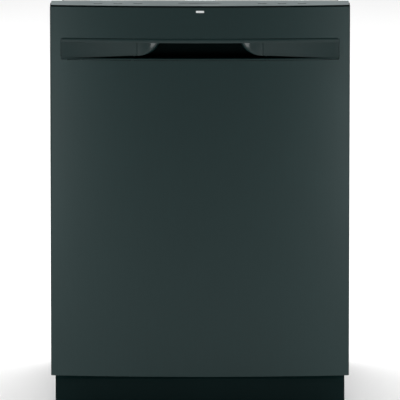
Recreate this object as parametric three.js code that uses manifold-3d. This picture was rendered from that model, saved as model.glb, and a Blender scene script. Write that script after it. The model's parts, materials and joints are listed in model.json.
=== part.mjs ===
// A built-in dishwasher with a bowed pocket-handle door, as an assembly of named meshes.
// Millimetres, +Z up, the door faces -Y, origin on the floor under the middle of the machine.

import * as THREE from "three";
import { mergeVertices } from "three/addons/utils/BufferGeometryUtils.js";
import Module from "manifold-3d";

const wasm = await Module();
wasm.setup();

// ---- Overall sizes ----
const WIDTH = 603; // door, side to side
const DEPTH = 610; // middle of the door front to the back of the base tray
const HEIGHT = 850; // floor to the top of the door
const GAP = 0.3; // between pieces that touch
const PLAY = 1; // between pieces that move past each other

// ---- Door ----
const BOW = 16; // the middle of the door front stands this far ahead of its ends
const DOOR_BOTTOM = 90;
const DOOR_THICKNESS = 70; // door front at its middle to the liner's rear face
const SKIN = 1.5;
const PANEL_RETURN = 24; // side return of the outer panel, ahead of the liner's rear face
const LINER_SHEET = 2;
const LINER_DROP = 13; // liner's bottom edge below the tub's floor
const LINER_RETURN = 40;
const CONSOLE_DROP = 22; // height of the control console
const CONSOLE_WALL = 3;
const BUTTON = { width: 17, depth: 9, height: 12, proud: 0.8, pitch: 40, first: 125 };
const WINDOW = { width: 84, depth: 18, height: 2 };
const LIGHT = { width: 17, height: 4.7, depth: 6, below: 12.5, sunk: 0.4 };
const LATCH = { width: 12, below: 17, height: 8, reach: 10, pivot: 18, radius: 5, drop: 3.5, sheet: 4 };
const BOARD = { half: 90, height: 110, below: 120, sheet: 2, behind: 14 };
const BOARD_PARTS = [
  { from: -70, to: -30, low: 20, high: 70, tall: 16 },
  { from: 10, to: 60, low: 30, high: 60, tall: 10 },
];

// ---- Pocket handle ----
const HANDLE = { margin: 21.7, height: 44.5, below: 67.3, corner: 5, lip: 9, sill: 3.5, scoop: 15 };
const POCKET = { top: 82, bottom: 126, depth: 34, rise: 22, wall: 5, ramp: 131 };

// ---- Hinge ----
const HINGE_FORWARD = 30; // pin ahead of the liner's rear face
const HINGE_Z = 105;
const PIN_RADIUS = 4;
const ARM_SHEET = 4;
const BRACKET_SHEET = 4;
const ARM = { disc: 12, ahead: 8, rise: 130 };
const BRACKET = { disc: 10, blade: 8, depth: 60, pin: 3 };
const SPRING = { radius: 7, length: 190, behind: 30, z: 75 };

// ---- Tub ----
const TUB_WALL = 2.5;
const TUB_SIDE = 29.5; // tub side in from the door's side
const TUB_FLOOR = 135;
const TUB_TOP_DROP = 38; // tub top below the door's top
const TUB_REAR = 20; // tub back ahead of the base tray's back
const SEAL_DEPTH = 7; // liner to the tub's flange
const FLANGE = { width: 20, sheet: 4 };
const BLANKET = 11;
const GASKET = { width: 12, ahead: 0.6, outside: 2, above: 5 };
const SEAL = { side: 4, depth: 5, proud: 1, below: 10 };
const STRIKE = { half: 30, leg: 12, depth: 22, sheet: 2 };
const COUNTER = { x: 200, width: 44, length: 36, sheet: 2, below: 8 };
const SUMP = { radius: 73, wall: 5, floor: 70, ahead: 3.5, post: 10 };
const FILTER = { radius: 20, ahead: 37, above: 22, rim: 24, grip: 10 };
const PLATE = { below: 5, sheet: 3 };
const FLOAT = { side: 84.5, behind: 20, radius: 20, height: 30.5, stem: 5, below: 20 };
const HEATER = { ring: 172, tube: 4, rise: 9.5, foot: 24, below: 12 };
const CONDUIT = { half: 15, depth: 12, gap: 2, below: 6 };
const SPRINKLER = { radius: 32, rim: 6, hub: 20, height: 16 };

// ---- Base ----
const BASE = { bottom: 30, below: 17, wall: 4, side: 20, front: 120 };
const TOE_KICK = { side: 8, top: 86, bottom: 1.5, front: 85, lean: 27, curl: 24, sheet: 1.5 };
const LEG = { pad: 20, padHeight: 8, stem: 5, top: 64, nut: 11, x: 46, front: 155, rear: 45 };

// ---- Machine space ----
const CIRCULATION = { z: 75, volute: 36, thick: 40, motor: 30, length: 130, foot: 14, from: 80, to: 110 };
const DRAIN = { z: 72, volute: 28, thick: 30, motor: 22, length: 80, foot: 10, from: 50, to: 66 };
const PUMP_GAP = 4;
const VALVE = { side: 70, front: 50, width: 46, depth: 34, height: 30 };
const VALVE_PORTS = { coil: 14, tall: 28, inlet: 10, stub: 16 };
const JUNCTION = { side: 150, front: 20, width: 82, depth: 52, height: 44 };

// ---- Racks and spray arms ----
const WIRE = 5;
const LOWER_RACK = { side: 33, rise: 52.5, height: 202, front: 28, rear: 43, across: 6, along: 6 };
const UPPER_RACK = { side: 27, rise: 25, height: 122, front: 30, rear: 47, across: 5, along: 6 };
const WHEEL = { radius: 18, width: 11, bore: 3, side: 4, front: 135, rear: 105, hanger: 8 };
const RAIL = { height: 20, width: 10, rise: 44, web: 3, stop: 4, front: 12, rear: 26 };
const RUNNER = { half: 5, side: 6, front: 10, rear: 20 };
const ARM_LOWER = { clear: 28, rise: 16.5, hub: 28, height: 14 };
const ARM_UPPER = { clear: 53, rise: 61, hub: 26, height: 12 };
const BLADE = { root: 27, shoulder: 22, tip: 16, taper: 12, above: 2, cap: 4 };
const TINES = { x: -60, count: 8, height: 96, pitch: 34, rod: 3, half: 2, rise: 14 };
const BASKET = { side: 23, width: 126, front: 20, length: 230, height: 130, wall: 3, cells: 4 };
const SHELF = { width: 100, length: 300, sheet: 4, rise: 88, gap: 8, slots: 5, rib: 20, edge: 12 };

// ---- Dispenser ----
const DISPENSER = { width: 190, height: 130, below: 370, depth: 34, proud: 4 };
const CUP = { width: 78, height: 70, depth: 22, x: -42, above: 12 };
const LID = { sheet: 3, margin: 4, grip: 18, bar: 6, proud: 2 };
const CAP = { radius: 19, height: 3.5, x: 58, above: 40, grip: 16, bar: 3, proud: 2.5 };

// ---- Planes that the sizes above set ----
const FRONT = -DEPTH / 2;
const BACK = DEPTH / 2;
const HALF = WIDTH / 2;
const LINER_BACK = FRONT + DOOR_THICKNESS;
const LINER_FRONT = LINER_BACK - LINER_SHEET;
const LINER_TOP = HEIGHT - CONSOLE_DROP;
const LINER_BOTTOM = TUB_FLOOR - LINER_DROP;
const LINER_HALF = HALF - SKIN - GAP;
const HINGE_Y = LINER_BACK - HINGE_FORWARD;
const LATCH_Z = HEIGHT - LATCH.below;
const PANEL_TOP = HEIGHT - BUTTON.proud;
const FLANGE_Y = LINER_BACK + SEAL_DEPTH;
const TUB_HALF = HALF - TUB_SIDE;
const TUB_IN = TUB_HALF - TUB_WALL;
const TUB_TOP = HEIGHT - TUB_TOP_DROP;
const TUB_BACK = BACK - TUB_REAR;
const DECK = TUB_FLOOR + TUB_WALL; // inside floor of the tub
const CEILING = TUB_TOP - TUB_WALL;
const SUMP_Y = (FLANGE_Y + TUB_BACK) / 2 - SUMP.ahead;
const FILTER_Y = SUMP_Y - FILTER.ahead;
const ARM_ROOM = Math.min(TUB_IN, SUMP_Y - FLANGE_Y); // from the sump to the nearest wall of the tub
const ARM_LOWER_Z = DECK + ARM_LOWER.rise;
const LOWER_BOTTOM = DECK + LOWER_RACK.rise;
const LOWER_TOP = LOWER_BOTTOM + LOWER_RACK.height;
const ARM_UPPER_Z = LOWER_TOP + ARM_UPPER.rise;
const UPPER_BOTTOM = ARM_UPPER_Z + UPPER_RACK.rise;
const UPPER_TOP = UPPER_BOTTOM + UPPER_RACK.height;
const RAIL_Z = UPPER_BOTTOM + RAIL.rise;
const SHELF_Z = UPPER_BOTTOM + SHELF.rise;
const TINES_Z = LOWER_BOTTOM + TINES.rise;
const CONDUIT_TOP = CEILING - CONDUIT.below;
const DISPENSER_Z = HEIGHT - DISPENSER.below;
const CUP_Z = DISPENSER_Z + CUP.above;
const FITTING_Y = LINER_BACK + DISPENSER.proud + GAP; // rear face of the dispenser's moving parts
const HANDLE_TOP = HEIGHT - HANDLE.below;
const HANDLE_BOTTOM = HANDLE_TOP - HANDLE.height;
const HANDLE_HALF = HALF - HANDLE.margin;
const FIELD_TOP = HANDLE_TOP - HANDLE.lip;
const FIELD_BOTTOM = HANDLE_BOTTOM + HANDLE.sill;
const BASE_HALF = HALF - BASE.side;
const BASE_FRONT = FRONT + BASE.front;
const BASE_TOP = TUB_FLOOR - BASE.below;
const TRAY = BASE.bottom + BASE.wall + GAP; // where the pumps and boxes stand
const BRACKET_X = BASE_HALF + GAP; // inner face of a hinge bracket
const ARM_X = BRACKET_X - PLAY - ARM_SHEET; // inner face of a hinge arm
const BOW_RADIUS = (HALF * HALF + BOW * BOW) / (2 * BOW);

// ---- Materials ----
function finish(color, roughness, metalness) {
  return new THREE.MeshStandardMaterial({ color, roughness, metalness });
}
const slate = finish(0x334342, 0.42, 0.55);
const pocketPlastic = finish(0x2a3837, 0.45, 0.1);
const consoleGrey = finish(0x7c8887, 0.4, 0.4);
const blackPlastic = finish(0x16191a, 0.5, 0);
const greyPlastic = finish(0x9aa0a3, 0.5, 0);
const whitePlastic = finish(0xe6e8e8, 0.35, 0);
const lightWindow = finish(0xf4f7f7, 0.2, 0);
const darkGlass = finish(0x0c0f10, 0.1, 0);
const stainless = finish(0xb9bcbe, 0.3, 0.95);
const galvanised = finish(0x9ea3a5, 0.45, 0.85);
const toePaint = finish(0x151c1c, 0.45, 0.2);
const rubber = finish(0x3a3d3f, 0.8, 0);
const blanketFelt = finish(0xdcdcd8, 0.95, 0);
const rackCoat = finish(0xa9afb2, 0.4, 0);
const boardGreen = finish(0x2d5b3c, 0.55, 0);

// ---- Solids ----
const AXES = {
  x: new THREE.Vector3(1, 0, 0),
  y: new THREE.Vector3(0, 1, 0),
  z: new THREE.Vector3(0, 0, 1),
};

function toSolid(geometry) {
  const bare = geometry.index ? geometry.toNonIndexed() : geometry.clone();
  bare.deleteAttribute("normal");
  bare.deleteAttribute("uv");
  const merged = mergeVertices(bare, 1e-4);
  const vertProperties = merged.attributes.position.array;
  const triVerts = new Uint32Array(merged.index.array);
  return new wasm.Manifold(new wasm.Mesh({ numProp: 3, vertProperties, triVerts }));
}

function toGeometry(solid) {
  const mesh = solid.getMesh();
  const geometry = new THREE.BufferGeometry();
  geometry.setAttribute("position", new THREE.BufferAttribute(mesh.vertProperties, 3));
  geometry.setIndex(new THREE.BufferAttribute(mesh.triVerts, 1));
  const flat = geometry.toNonIndexed();
  flat.computeVertexNormals();
  return flat;
}

function join(...solids) {
  return solids.reduce((all, next) => all.add(next));
}

function cut(solid, ...tools) {
  return tools.reduce((left, tool) => left.subtract(tool), solid);
}

// A block between two opposite corners.
function block([x0, y0, z0], [x1, y1, z1]) {
  const geometry = new THREE.BoxGeometry(x1 - x0, y1 - y0, z1 - z0);
  geometry.translate((x0 + x1) / 2, (y0 + y1) / 2, (z0 + z1) / 2);
  return toSolid(geometry);
}

// A round bar between two points.
function bar(radius, from, to, sides = 16) {
  const start = new THREE.Vector3(...from);
  const end = new THREE.Vector3(...to);
  const geometry = new THREE.CylinderGeometry(radius, radius, start.distanceTo(end), sides);
  const direction = end.clone().sub(start).normalize();
  geometry.applyQuaternion(new THREE.Quaternion().setFromUnitVectors(AXES.y, direction));
  const middle = start.add(end).multiplyScalar(0.5);
  geometry.translate(middle.x, middle.y, middle.z);
  return toSolid(geometry);
}

function outline(points) {
  return new THREE.Shape(points.map(([a, b]) => new THREE.Vector2(a, b)));
}

function extrude(shape, depth) {
  return new THREE.ExtrudeGeometry(shape, { depth, bevelEnabled: false, curveSegments: 6 });
}

// An outline in plan (x, y), raised from one height to another.
function planPrism(shape, z0, z1) {
  const geometry = extrude(shape, z1 - z0);
  geometry.translate(0, 0, z0);
  return toSolid(geometry);
}

// An outline seen from the front (x, z), taken from one depth to another.
function frontPrism(shape, y0, y1) {
  const geometry = extrude(shape, y1 - y0);
  geometry.rotateX(Math.PI / 2);
  geometry.translate(0, y1, 0);
  return toSolid(geometry);
}

// An outline seen from the side (y, z), taken from one x to another.
function sidePrism(shape, x0, x1) {
  const geometry = extrude(shape, x1 - x0);
  geometry.applyMatrix4(new THREE.Matrix4().makeBasis(AXES.y, AXES.z, AXES.x));
  geometry.translate(x0, 0, 0);
  return toSolid(geometry);
}

function roundedShape(x0, z0, x1, z1, r) {
  const shape = new THREE.Shape();
  shape.moveTo(x0 + r, z0);
  shape.lineTo(x1 - r, z0);
  shape.absarc(x1 - r, z0 + r, r, -Math.PI / 2, 0);
  shape.lineTo(x1, z1 - r);
  shape.absarc(x1 - r, z1 - r, r, 0, Math.PI / 2);
  shape.lineTo(x0 + r, z1);
  shape.absarc(x0 + r, z1 - r, r, Math.PI / 2, Math.PI);
  shape.lineTo(x0, z0 + r);
  shape.absarc(x0 + r, z0 + r, r, Math.PI, 1.5 * Math.PI);
  return shape;
}

// The bowed front in plan: y of a face that lies an inset behind the door front.
function frontAt(x, inset = 0) {
  const radius = BOW_RADIUS - inset;
  return FRONT + BOW_RADIUS - Math.sqrt(radius * radius - x * x);
}

// Plan of what lies between the bowed face and a straight back.
function bowedPlan(half, inset, back, steps = 24) {
  const points = [];
  for (let i = 0; i <= steps; i++) {
    const x = half * ((2 * i) / steps - 1);
    points.push([x, frontAt(x, inset)]);
  }
  points.push([half, back], [-half, back]);
  return outline(points);
}

const dishwasher = new THREE.Group();
dishwasher.name = "built_in_dishwasher";

function place(name, solid, material, [x, y, z] = [0, 0, 0], parent = dishwasher) {
  const mesh = new THREE.Mesh(toGeometry(solid), material);
  mesh.name = name;
  mesh.position.set(x, y, z);
  parent.add(mesh);
}

// ---- Door shells ----
function outerPanel() {
  const far = 100;
  const back = LINER_BACK - PANEL_RETURN + far;
  const shell = planPrism(bowedPlan(HALF, 0, back), DOOR_BOTTOM, PANEL_TOP);
  const inside = bowedPlan(HALF - SKIN, SKIN, back + 1);
  const hollow = planPrism(inside, DOOR_BOTTOM + SKIN, PANEL_TOP + 1);
  const rear = block([-HALF - 1, LINER_BACK - PANEL_RETURN, 0], [HALF + 1, back + 1, HEIGHT]);
  const floorEnd = HINGE_Y - ARM.disc + PLAY;
  const hingeRoom = block([-HALF + SKIN, floorEnd, 0], [HALF - SKIN, back, DOOR_BOTTOM + SKIN]);
  const opening = frontPrism(
    roundedShape(-HANDLE_HALF, HANDLE_BOTTOM, HANDLE_HALF, HANDLE_TOP, HANDLE.corner),
    FRONT - 1,
    LINER_FRONT,
  );
  const z = HEIGHT - LIGHT.below;
  const lightHole = block(
    [-LIGHT.width / 2, FRONT - 1, z - LIGHT.height / 2],
    [LIGHT.width / 2, FRONT + BOW, z + LIGHT.height / 2],
  );
  return cut(shell, hollow, rear, hingeRoom, opening, lightHole);
}

// Plan of the field that sinks towards the pocket, from its ends on the bowed front.
function fieldPlan() {
  const outer = HANDLE_HALF - HANDLE.corner;
  const steps = 20;
  const points = [[-outer, FRONT - 1], [outer, FRONT - 1]];
  for (let i = 1; i < steps; i++) {
    const x = outer * (1 - (2 * i) / steps);
    const share = Math.min(1, (outer - Math.abs(x)) / POCKET.ramp);
    points.push([x, frontAt(x) + HANDLE.scoop * share]);
  }
  return outline(points);
}

// The insert: a flush lip, the sinking field and the finger pocket.
function pocketHandle() {
  const half = HANDLE_HALF - GAP;
  const rear = FRONT + POCKET.depth + POCKET.wall;
  const face = frontPrism(
    roundedShape(-half, HANDLE_BOTTOM + GAP, half, HANDLE_TOP - GAP, HANDLE.corner),
    FRONT - 1,
    rear,
  );
  const bowed = face.intersect(planPrism(bowedPlan(HALF, 0, rear), HANDLE_BOTTOM, HANDLE_TOP));
  const houseHalf = POCKET.bottom + POCKET.wall;
  const housing = block(
    [-houseHalf, frontAt(houseHalf, SKIN + PLAY), HANDLE_BOTTOM - POCKET.wall],
    [houseHalf, rear, FIELD_TOP + POCKET.rise + POCKET.wall],
  );
  const field = planPrism(fieldPlan(), FIELD_BOTTOM, FIELD_TOP);
  const mouth = frontPrism(
    outline([
      [-POCKET.bottom, FIELD_BOTTOM],
      [POCKET.bottom, FIELD_BOTTOM],
      [POCKET.top, FIELD_TOP],
      [-POCKET.top, FIELD_TOP],
    ]),
    FRONT - 1,
    FRONT + POCKET.depth,
  );
  const fingerRoom = block(
    [-POCKET.top, FRONT + HANDLE.scoop, FIELD_BOTTOM],
    [POCKET.top, FRONT + POCKET.depth, FIELD_TOP + POCKET.rise],
  );
  return cut(join(bowed, housing), field, mouth, fingerRoom);
}

function innerLiner() {
  const front = LINER_BACK - LINER_RETURN;
  const pan = block([-LINER_HALF, front, LINER_BOTTOM], [LINER_HALF, LINER_BACK, LINER_TOP]);
  const inside = block(
    [-LINER_HALF + LINER_SHEET, front - 1, LINER_BOTTOM + LINER_SHEET],
    [LINER_HALF - LINER_SHEET, LINER_FRONT, LINER_TOP + 1],
  );
  const half = DISPENSER.width / 2 + GAP;
  const window = block(
    [-half, front, DISPENSER_Z - GAP],
    [half, LINER_BACK + 1, DISPENSER_Z + DISPENSER.height + GAP],
  );
  const armSlot = block(
    [ARM_X - PLAY, front - 1, 0],
    [ARM_X + ARM_SHEET + PLAY, LINER_FRONT - LINER_SHEET, LINER_BOTTOM + 2 * LINER_SHEET],
  );
  return cut(pan, inside, window, armSlot, mirrored(armSlot, -1));
}

function controlConsole() {
  const half = LINER_HALF;
  const bottom = LINER_TOP + GAP;
  const inset = SKIN + PLAY;
  const shell = planPrism(bowedPlan(half, inset, LINER_BACK), bottom, PANEL_TOP);
  const room = planPrism(
    bowedPlan(half - CONSOLE_WALL, inset + CONSOLE_WALL, LINER_BACK - CONSOLE_WALL),
    bottom - 1,
    PANEL_TOP - CONSOLE_WALL,
  );
  const holes = buttonPlaces().map(([x, y]) =>
    block(
      [x - BUTTON.width / 2 - GAP, y - BUTTON.depth / 2 - GAP, PANEL_TOP - CONSOLE_WALL - 1],
      [x + BUTTON.width / 2 + GAP, y + BUTTON.depth / 2 + GAP, HEIGHT],
    ),
  );
  const y = buttonLine();
  const recess = block(
    [-WINDOW.width / 2 - GAP, y - WINDOW.depth / 2 - GAP, PANEL_TOP - WINDOW.height - GAP],
    [WINDOW.width / 2 + GAP, y + WINDOW.depth / 2 + GAP, HEIGHT],
  );
  const latchSlot = block(
    [-LATCH.width / 2 - PLAY, LINER_BACK - CONSOLE_WALL - 1, LATCH_Z - LATCH.drop],
    [LATCH.width / 2 + PLAY, LINER_BACK + 1, LATCH_Z + LATCH.height + PLAY],
  );
  const z = HEIGHT - LIGHT.below;
  const lightHole = block(
    [-LIGHT.width / 2 - PLAY, FRONT, z - LIGHT.height / 2 - PLAY],
    [LIGHT.width / 2 + PLAY, FRONT + inset + CONSOLE_WALL + 1, z + LIGHT.height / 2 + PLAY],
  );
  return cut(shell, room, ...holes, recess, latchSlot, lightHole);
}

function buttonLine() {
  return (frontAt(0, SKIN) + LINER_BACK) / 2;
}

function buttonPlaces() {
  const places = [];
  for (const side of [-1, 1]) {
    for (let i = 0; i < 3; i++) {
      places.push([side * (BUTTON.first + i * BUTTON.pitch), buttonLine()]);
    }
  }
  return places.sort((a, b) => a[0] - b[0]);
}

// ---- Latch ----
function latchHook() {
  const half = LATCH.width / 2;
  const y = LINER_BACK - LATCH.pivot;
  const end = LINER_BACK + LATCH.reach;
  const low = LATCH_Z + 1;
  const high = low + LATCH.sheet;
  const middle = (low + high) / 2 + 1;
  const boss = bar(LATCH.radius, [-half, y, middle], [half, y, middle], 12);
  const lever = block([-half, y, low], [half, end, high]);
  const tip = block([-half, end - 3, low], [half, end, LATCH_Z + LATCH.height - 1]);
  return join(boss, lever, tip);
}

// The keeper over the hook, on top of the tub's flange.
function doorStrike() {
  const { half, leg, depth, sheet } = STRIKE;
  const z = LATCH_Z + LATCH.height + sheet;
  const foot = FLANGE_Y + FLANGE.sheet + sheet;
  const post = block([half - leg, foot, TUB_TOP + GAP], [half, foot + depth, z + 1]);
  const plate = block([-half, FLANGE_Y, z], [half, foot + depth, z + sheet]);
  return join(plate, post, mirrored(post, -1));
}

// ---- Hinges ----
function hingeArm(side) {
  const x0 = ARM_X;
  const x1 = x0 + ARM_SHEET;
  const disc = bar(ARM.disc, [x0, HINGE_Y, HINGE_Z], [x1, HINGE_Y, HINGE_Z], 24);
  const blade = block([x0, HINGE_Y - ARM.ahead, HINGE_Z], [x1, LINER_FRONT - GAP, HINGE_Z + ARM.rise]);
  const edgeRoom = block([x0 - 1, HINGE_Y + ARM.disc + 1, 0], [x1 + 1, LINER_BACK, LINER_BOTTOM + 4]);
  const hole = bar(PIN_RADIUS + GAP, [x0 - 1, HINGE_Y, HINGE_Z], [x1 + 1, HINGE_Y, HINGE_Z], 24);
  return mirrored(cut(join(disc, blade), edgeRoom, hole), side);
}

function hingeBracket(side) {
  const x0 = BRACKET_X;
  const x1 = x0 + BRACKET_SHEET;
  const rear = BASE_FRONT + BRACKET.depth;
  const disc = bar(BRACKET.disc, [x0, HINGE_Y, HINGE_Z], [x1, HINGE_Y, HINGE_Z], 24);
  const blade = block([x0, HINGE_Y, HINGE_Z - BRACKET.blade], [x1, rear, HINGE_Z + BRACKET.blade]);
  const post = block([x0, BASE_FRONT, SPRING.z - 25], [x1, rear, HINGE_Z]);
  const pin = bar(PIN_RADIUS, [ARM_X - BRACKET.pin, HINGE_Y, HINGE_Z], [x1, HINGE_Y, HINGE_Z], 24);
  return mirrored(join(disc, blade, post, pin), side);
}

// A coil spring on its hooks, as the outline that it turns in.
function doorSpring(side) {
  const { radius, length, behind, z } = SPRING;
  const x = BRACKET_X + BRACKET_SHEET + GAP + radius;
  const y = BASE_FRONT + behind;
  return mirrored(bar(radius, [x, y, z], [x, y + length, z], 12), side);
}

function mirrored(solid, side) {
  return side < 0 ? solid.mirror([1, 0, 0]) : solid;
}

// ---- Tub and what is fixed to it ----
function tub() {
  const outer = block([-TUB_HALF, FLANGE_Y + 1, TUB_FLOOR], [TUB_HALF, TUB_BACK, TUB_TOP]);
  const inner = block([-TUB_IN, FLANGE_Y - 1, DECK], [TUB_IN, TUB_BACK - TUB_WALL, CEILING]);
  const half = TUB_HALF + FLANGE.width;
  const flange = block(
    [-half, FLANGE_Y, TUB_FLOOR - 5],
    [half, FLANGE_Y + FLANGE.sheet, TUB_TOP + BLANKET + 2],
  );
  const floorHole = (radius, [x, y], sides) =>
    bar(radius, [x, y, TUB_FLOOR - 1], [x, y, DECK + 1], sides);
  const drain = floorHole(SUMP.radius + 2 * PLAY, [0, SUMP_Y], 40);
  const floatHole = floorHole(FLOAT.stem + 3, floatPlace(), 16);
  const heaterHoles = heaterFeet().map((foot) => floorHole(HEATER.tube + 3, foot, 16));
  const bracketHoles = [-1, 1].map((side) =>
    block(
      [side * TUB_HALF - FLANGE.width * 2, FLANGE_Y - 1, TUB_FLOOR - 6],
      [side * TUB_HALF + FLANGE.width * 2, FLANGE_Y + 9, TUB_FLOOR],
    ),
  );
  return cut(join(outer, flange), inner, drain, floatHole, ...heaterHoles, ...bracketHoles);
}

// A U of rubber round the tub's mouth: two sides and the top.
function gasket() {
  const { width, ahead, outside, above } = GASKET;
  const inner = TUB_IN + outside;
  const y0 = LINER_BACK + ahead;
  const y1 = FLANGE_Y - GAP;
  const hoop = block([-inner - width, y0, DECK + above], [inner + width, y1, CEILING + width]);
  const mouth = block([-inner, y0 - 1, DECK], [inner, y1 + 1, CEILING + 1]);
  return cut(hoop, mouth);
}

// Felt over the tub's sides, back and top, cut away for the strike, the tabs and the hinges.
function blanket() {
  const y0 = FLANGE_Y + FLANGE.sheet + 1;
  const half = TUB_HALF + BLANKET;
  const room = 2 * PLAY;
  const outer = block([-half, y0, BASE_TOP + 4], [half, TUB_BACK + BLANKET, TUB_TOP + BLANKET]);
  const inner = block(
    [-TUB_HALF - PLAY, y0 - 1, 0],
    [TUB_HALF + PLAY, TUB_BACK + PLAY, TUB_TOP + PLAY],
  );
  const strikeRoom = block(
    [-STRIKE.half - room, y0 - 1, TUB_TOP],
    [STRIKE.half + room, y0 + STRIKE.depth + BLANKET, HEIGHT],
  );
  const hingeRoom = block(
    [TUB_HALF - room, y0 - 1, 0],
    [half + BLANKET, BASE_FRONT + BRACKET.depth + room, HINGE_Z + BRACKET.blade + 10],
  );
  const tabRoom = block(
    [COUNTER.x - COUNTER.width / 2 - 2 * room, y0 - 1, TUB_TOP],
    [COUNTER.x + COUNTER.width / 2 + 2 * room, y0 + COUNTER.length + 8, HEIGHT],
  );
  const rooms = [strikeRoom, hingeRoom, mirrored(hingeRoom, -1), tabRoom, mirrored(tabRoom, -1)];
  return cut(outer, inner, ...rooms);
}

function counterBracket(side) {
  const { x, width, length, sheet, below } = COUNTER;
  const y = FLANGE_Y + FLANGE.sheet + 2;
  const low = TUB_TOP + GAP;
  const top = HEIGHT - below;
  const [x0, x1] = [x - width / 2, x + width / 2];
  const upright = block([x0, y, low], [x1, y + sheet, top]);
  const tab = block([x0, y, top - sheet], [x1, y + length, top]);
  const foot = block([x0, y, low], [x1, y + length, low + sheet]);
  return mirrored(join(upright, tab, foot), side);
}

// ---- Sump, filter, float and heater ----
function sumpBowl() {
  const { radius, wall, floor, post } = SUMP;
  const outer = bar(radius, [0, SUMP_Y, floor], [0, SUMP_Y, DECK], 40);
  const hollow = bar(radius - wall, [0, SUMP_Y, floor + wall], [0, SUMP_Y, DECK + 1], 40);
  const stand = bar(post, [0, SUMP_Y, floor + 1], [0, SUMP_Y, ARM_LOWER_Z - GAP], 16);
  return join(cut(outer, hollow), stand);
}

function filterPlate() {
  const z = DECK - PLATE.below;
  const top = z + PLATE.sheet;
  const disc = bar(SUMP.radius - SUMP.wall - GAP, [0, SUMP_Y, z], [0, SUMP_Y, top], 40);
  const postHole = bar(SUMP.post + GAP, [0, SUMP_Y, z - 1], [0, SUMP_Y, top + 1], 16);
  const filterHole = bar(FILTER.radius + PLAY, [0, FILTER_Y, z - 1], [0, FILTER_Y, top + 1], 24);
  return cut(disc, postHole, filterHole);
}

function filterCylinder() {
  const { radius, above, rim, grip } = FILTER;
  const y = FILTER_Y;
  const tube = bar(radius, [0, y, SUMP.floor + above], [0, y, DECK + 2], 24);
  const collar = bar(rim, [0, y, DECK - 1.5], [0, y, DECK + 4], 24);
  const handle = block([-3, y - rim + 4, DECK + 3], [3, y + rim - 4, DECK + 3 + grip]);
  return join(tube, collar, handle);
}

function floatPlace() {
  return [TUB_IN - FLOAT.side, BASE_FRONT + FLOAT.behind];
}

function floatBody() {
  const { radius, height, stem, below } = FLOAT;
  const [x, y] = floatPlace();
  const dome = new THREE.LatheGeometry(
    [
      new THREE.Vector2(0, 0),
      new THREE.Vector2(radius, 0),
      new THREE.Vector2(radius, height * 0.6),
      new THREE.Vector2(radius * 0.7, height * 0.9),
      new THREE.Vector2(0, height - PLAY),
    ],
    24,
  );
  dome.rotateX(Math.PI / 2);
  dome.translate(x, y, DECK + PLAY);
  return join(toSolid(dome), bar(stem, [x, y, TUB_FLOOR - below], [x, y, DECK + 4], 12));
}

function heaterFeet() {
  const { ring, foot } = HEATER;
  const y = SUMP_Y + Math.sqrt(ring ** 2 - foot ** 2);
  return [[-foot, y], [foot, y]];
}

function heater() {
  const { ring, tube, rise, below } = HEATER;
  const z = DECK + rise;
  const loop = new THREE.TorusGeometry(ring, tube, 8, 40);
  loop.translate(0, SUMP_Y, z);
  const legs = heaterFeet().map(([x, y]) => bar(tube, [x, y, TUB_FLOOR - below], [x, y, z], 12));
  return join(toSolid(loop), ...legs);
}

// ---- Spray arms and their feed ----
function sprayArm({ clear, hub, height }, z) {
  const reach = ARM_ROOM - clear;
  const { root, shoulder, tip, taper, above, cap } = BLADE;
  const half = [[hub, root], [reach - taper, shoulder], [reach, tip]];
  const front = [...half].reverse().map(([x, y]) => [-x, -y]).concat(half.map(([x, y]) => [x, -y]));
  const rear = front.map(([x, y]) => [-x, -y]);
  const plan = [...front, ...rear].map(([x, y]) => [x, SUMP_Y + y]);
  const boss = bar(hub, [0, SUMP_Y, z], [0, SUMP_Y, z + height + cap], 24);
  return join(boss, planPrism(outline(plan), z + above, z + height));
}

function sprayConduit() {
  const { half, depth, gap } = CONDUIT;
  const back = TUB_BACK - TUB_WALL - gap;
  return join(
    block([-half, back - depth, DECK + GAP], [half, back, CONDUIT_TOP]),
    block([-half, SUMP_Y - half, CONDUIT_TOP - depth], [half, back, CONDUIT_TOP]),
  );
}

function topSprinkler() {
  const { radius, rim, hub, height } = SPRINKLER;
  const top = CONDUIT_TOP - CONDUIT.depth - GAP;
  return join(
    bar(radius, [0, SUMP_Y, top - rim], [0, SUMP_Y, top], 24),
    bar(hub, [0, SUMP_Y, top - height], [0, SUMP_Y, top], 24),
  );
}

function rackRail(side) {
  const { height, width, web, stop } = RAIL;
  const x = TUB_IN - GAP;
  const front = FLANGE_Y + RAIL.front;
  const back = TUB_BACK - TUB_WALL - RAIL.rear;
  const low = RAIL_Z - height / 2;
  const high = RAIL_Z + height / 2;
  const channel = block([x - width, front, low], [x, back, high]);
  const groove = block([x - width - 1, front - 1, low + web], [x - web, back - stop, high - web]);
  return mirrored(cut(channel, groove), side);
}

// ---- Base ----
function legPlaces() {
  const x = HALF - LEG.x;
  return [
    ["front_left", -x, FRONT + LEG.front],
    ["front_right", x, FRONT + LEG.front],
    ["rear_left", -x, BACK - LEG.rear],
    ["rear_right", x, BACK - LEG.rear],
  ];
}

function baseTray() {
  const { bottom, wall } = BASE;
  const tray = block([-BASE_HALF, BASE_FRONT, bottom], [BASE_HALF, BACK, BASE_TOP]);
  const room = block(
    [-BASE_HALF + wall, BASE_FRONT + wall, bottom + wall],
    [BASE_HALF - wall, BACK - wall, BASE_TOP + 1],
  );
  const holes = legPlaces().map(([, x, y]) =>
    bar(LEG.stem + PLAY, [x, y, 0], [x, y, bottom + wall + 1], 16),
  );
  return cut(tray, room, ...holes);
}

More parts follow.
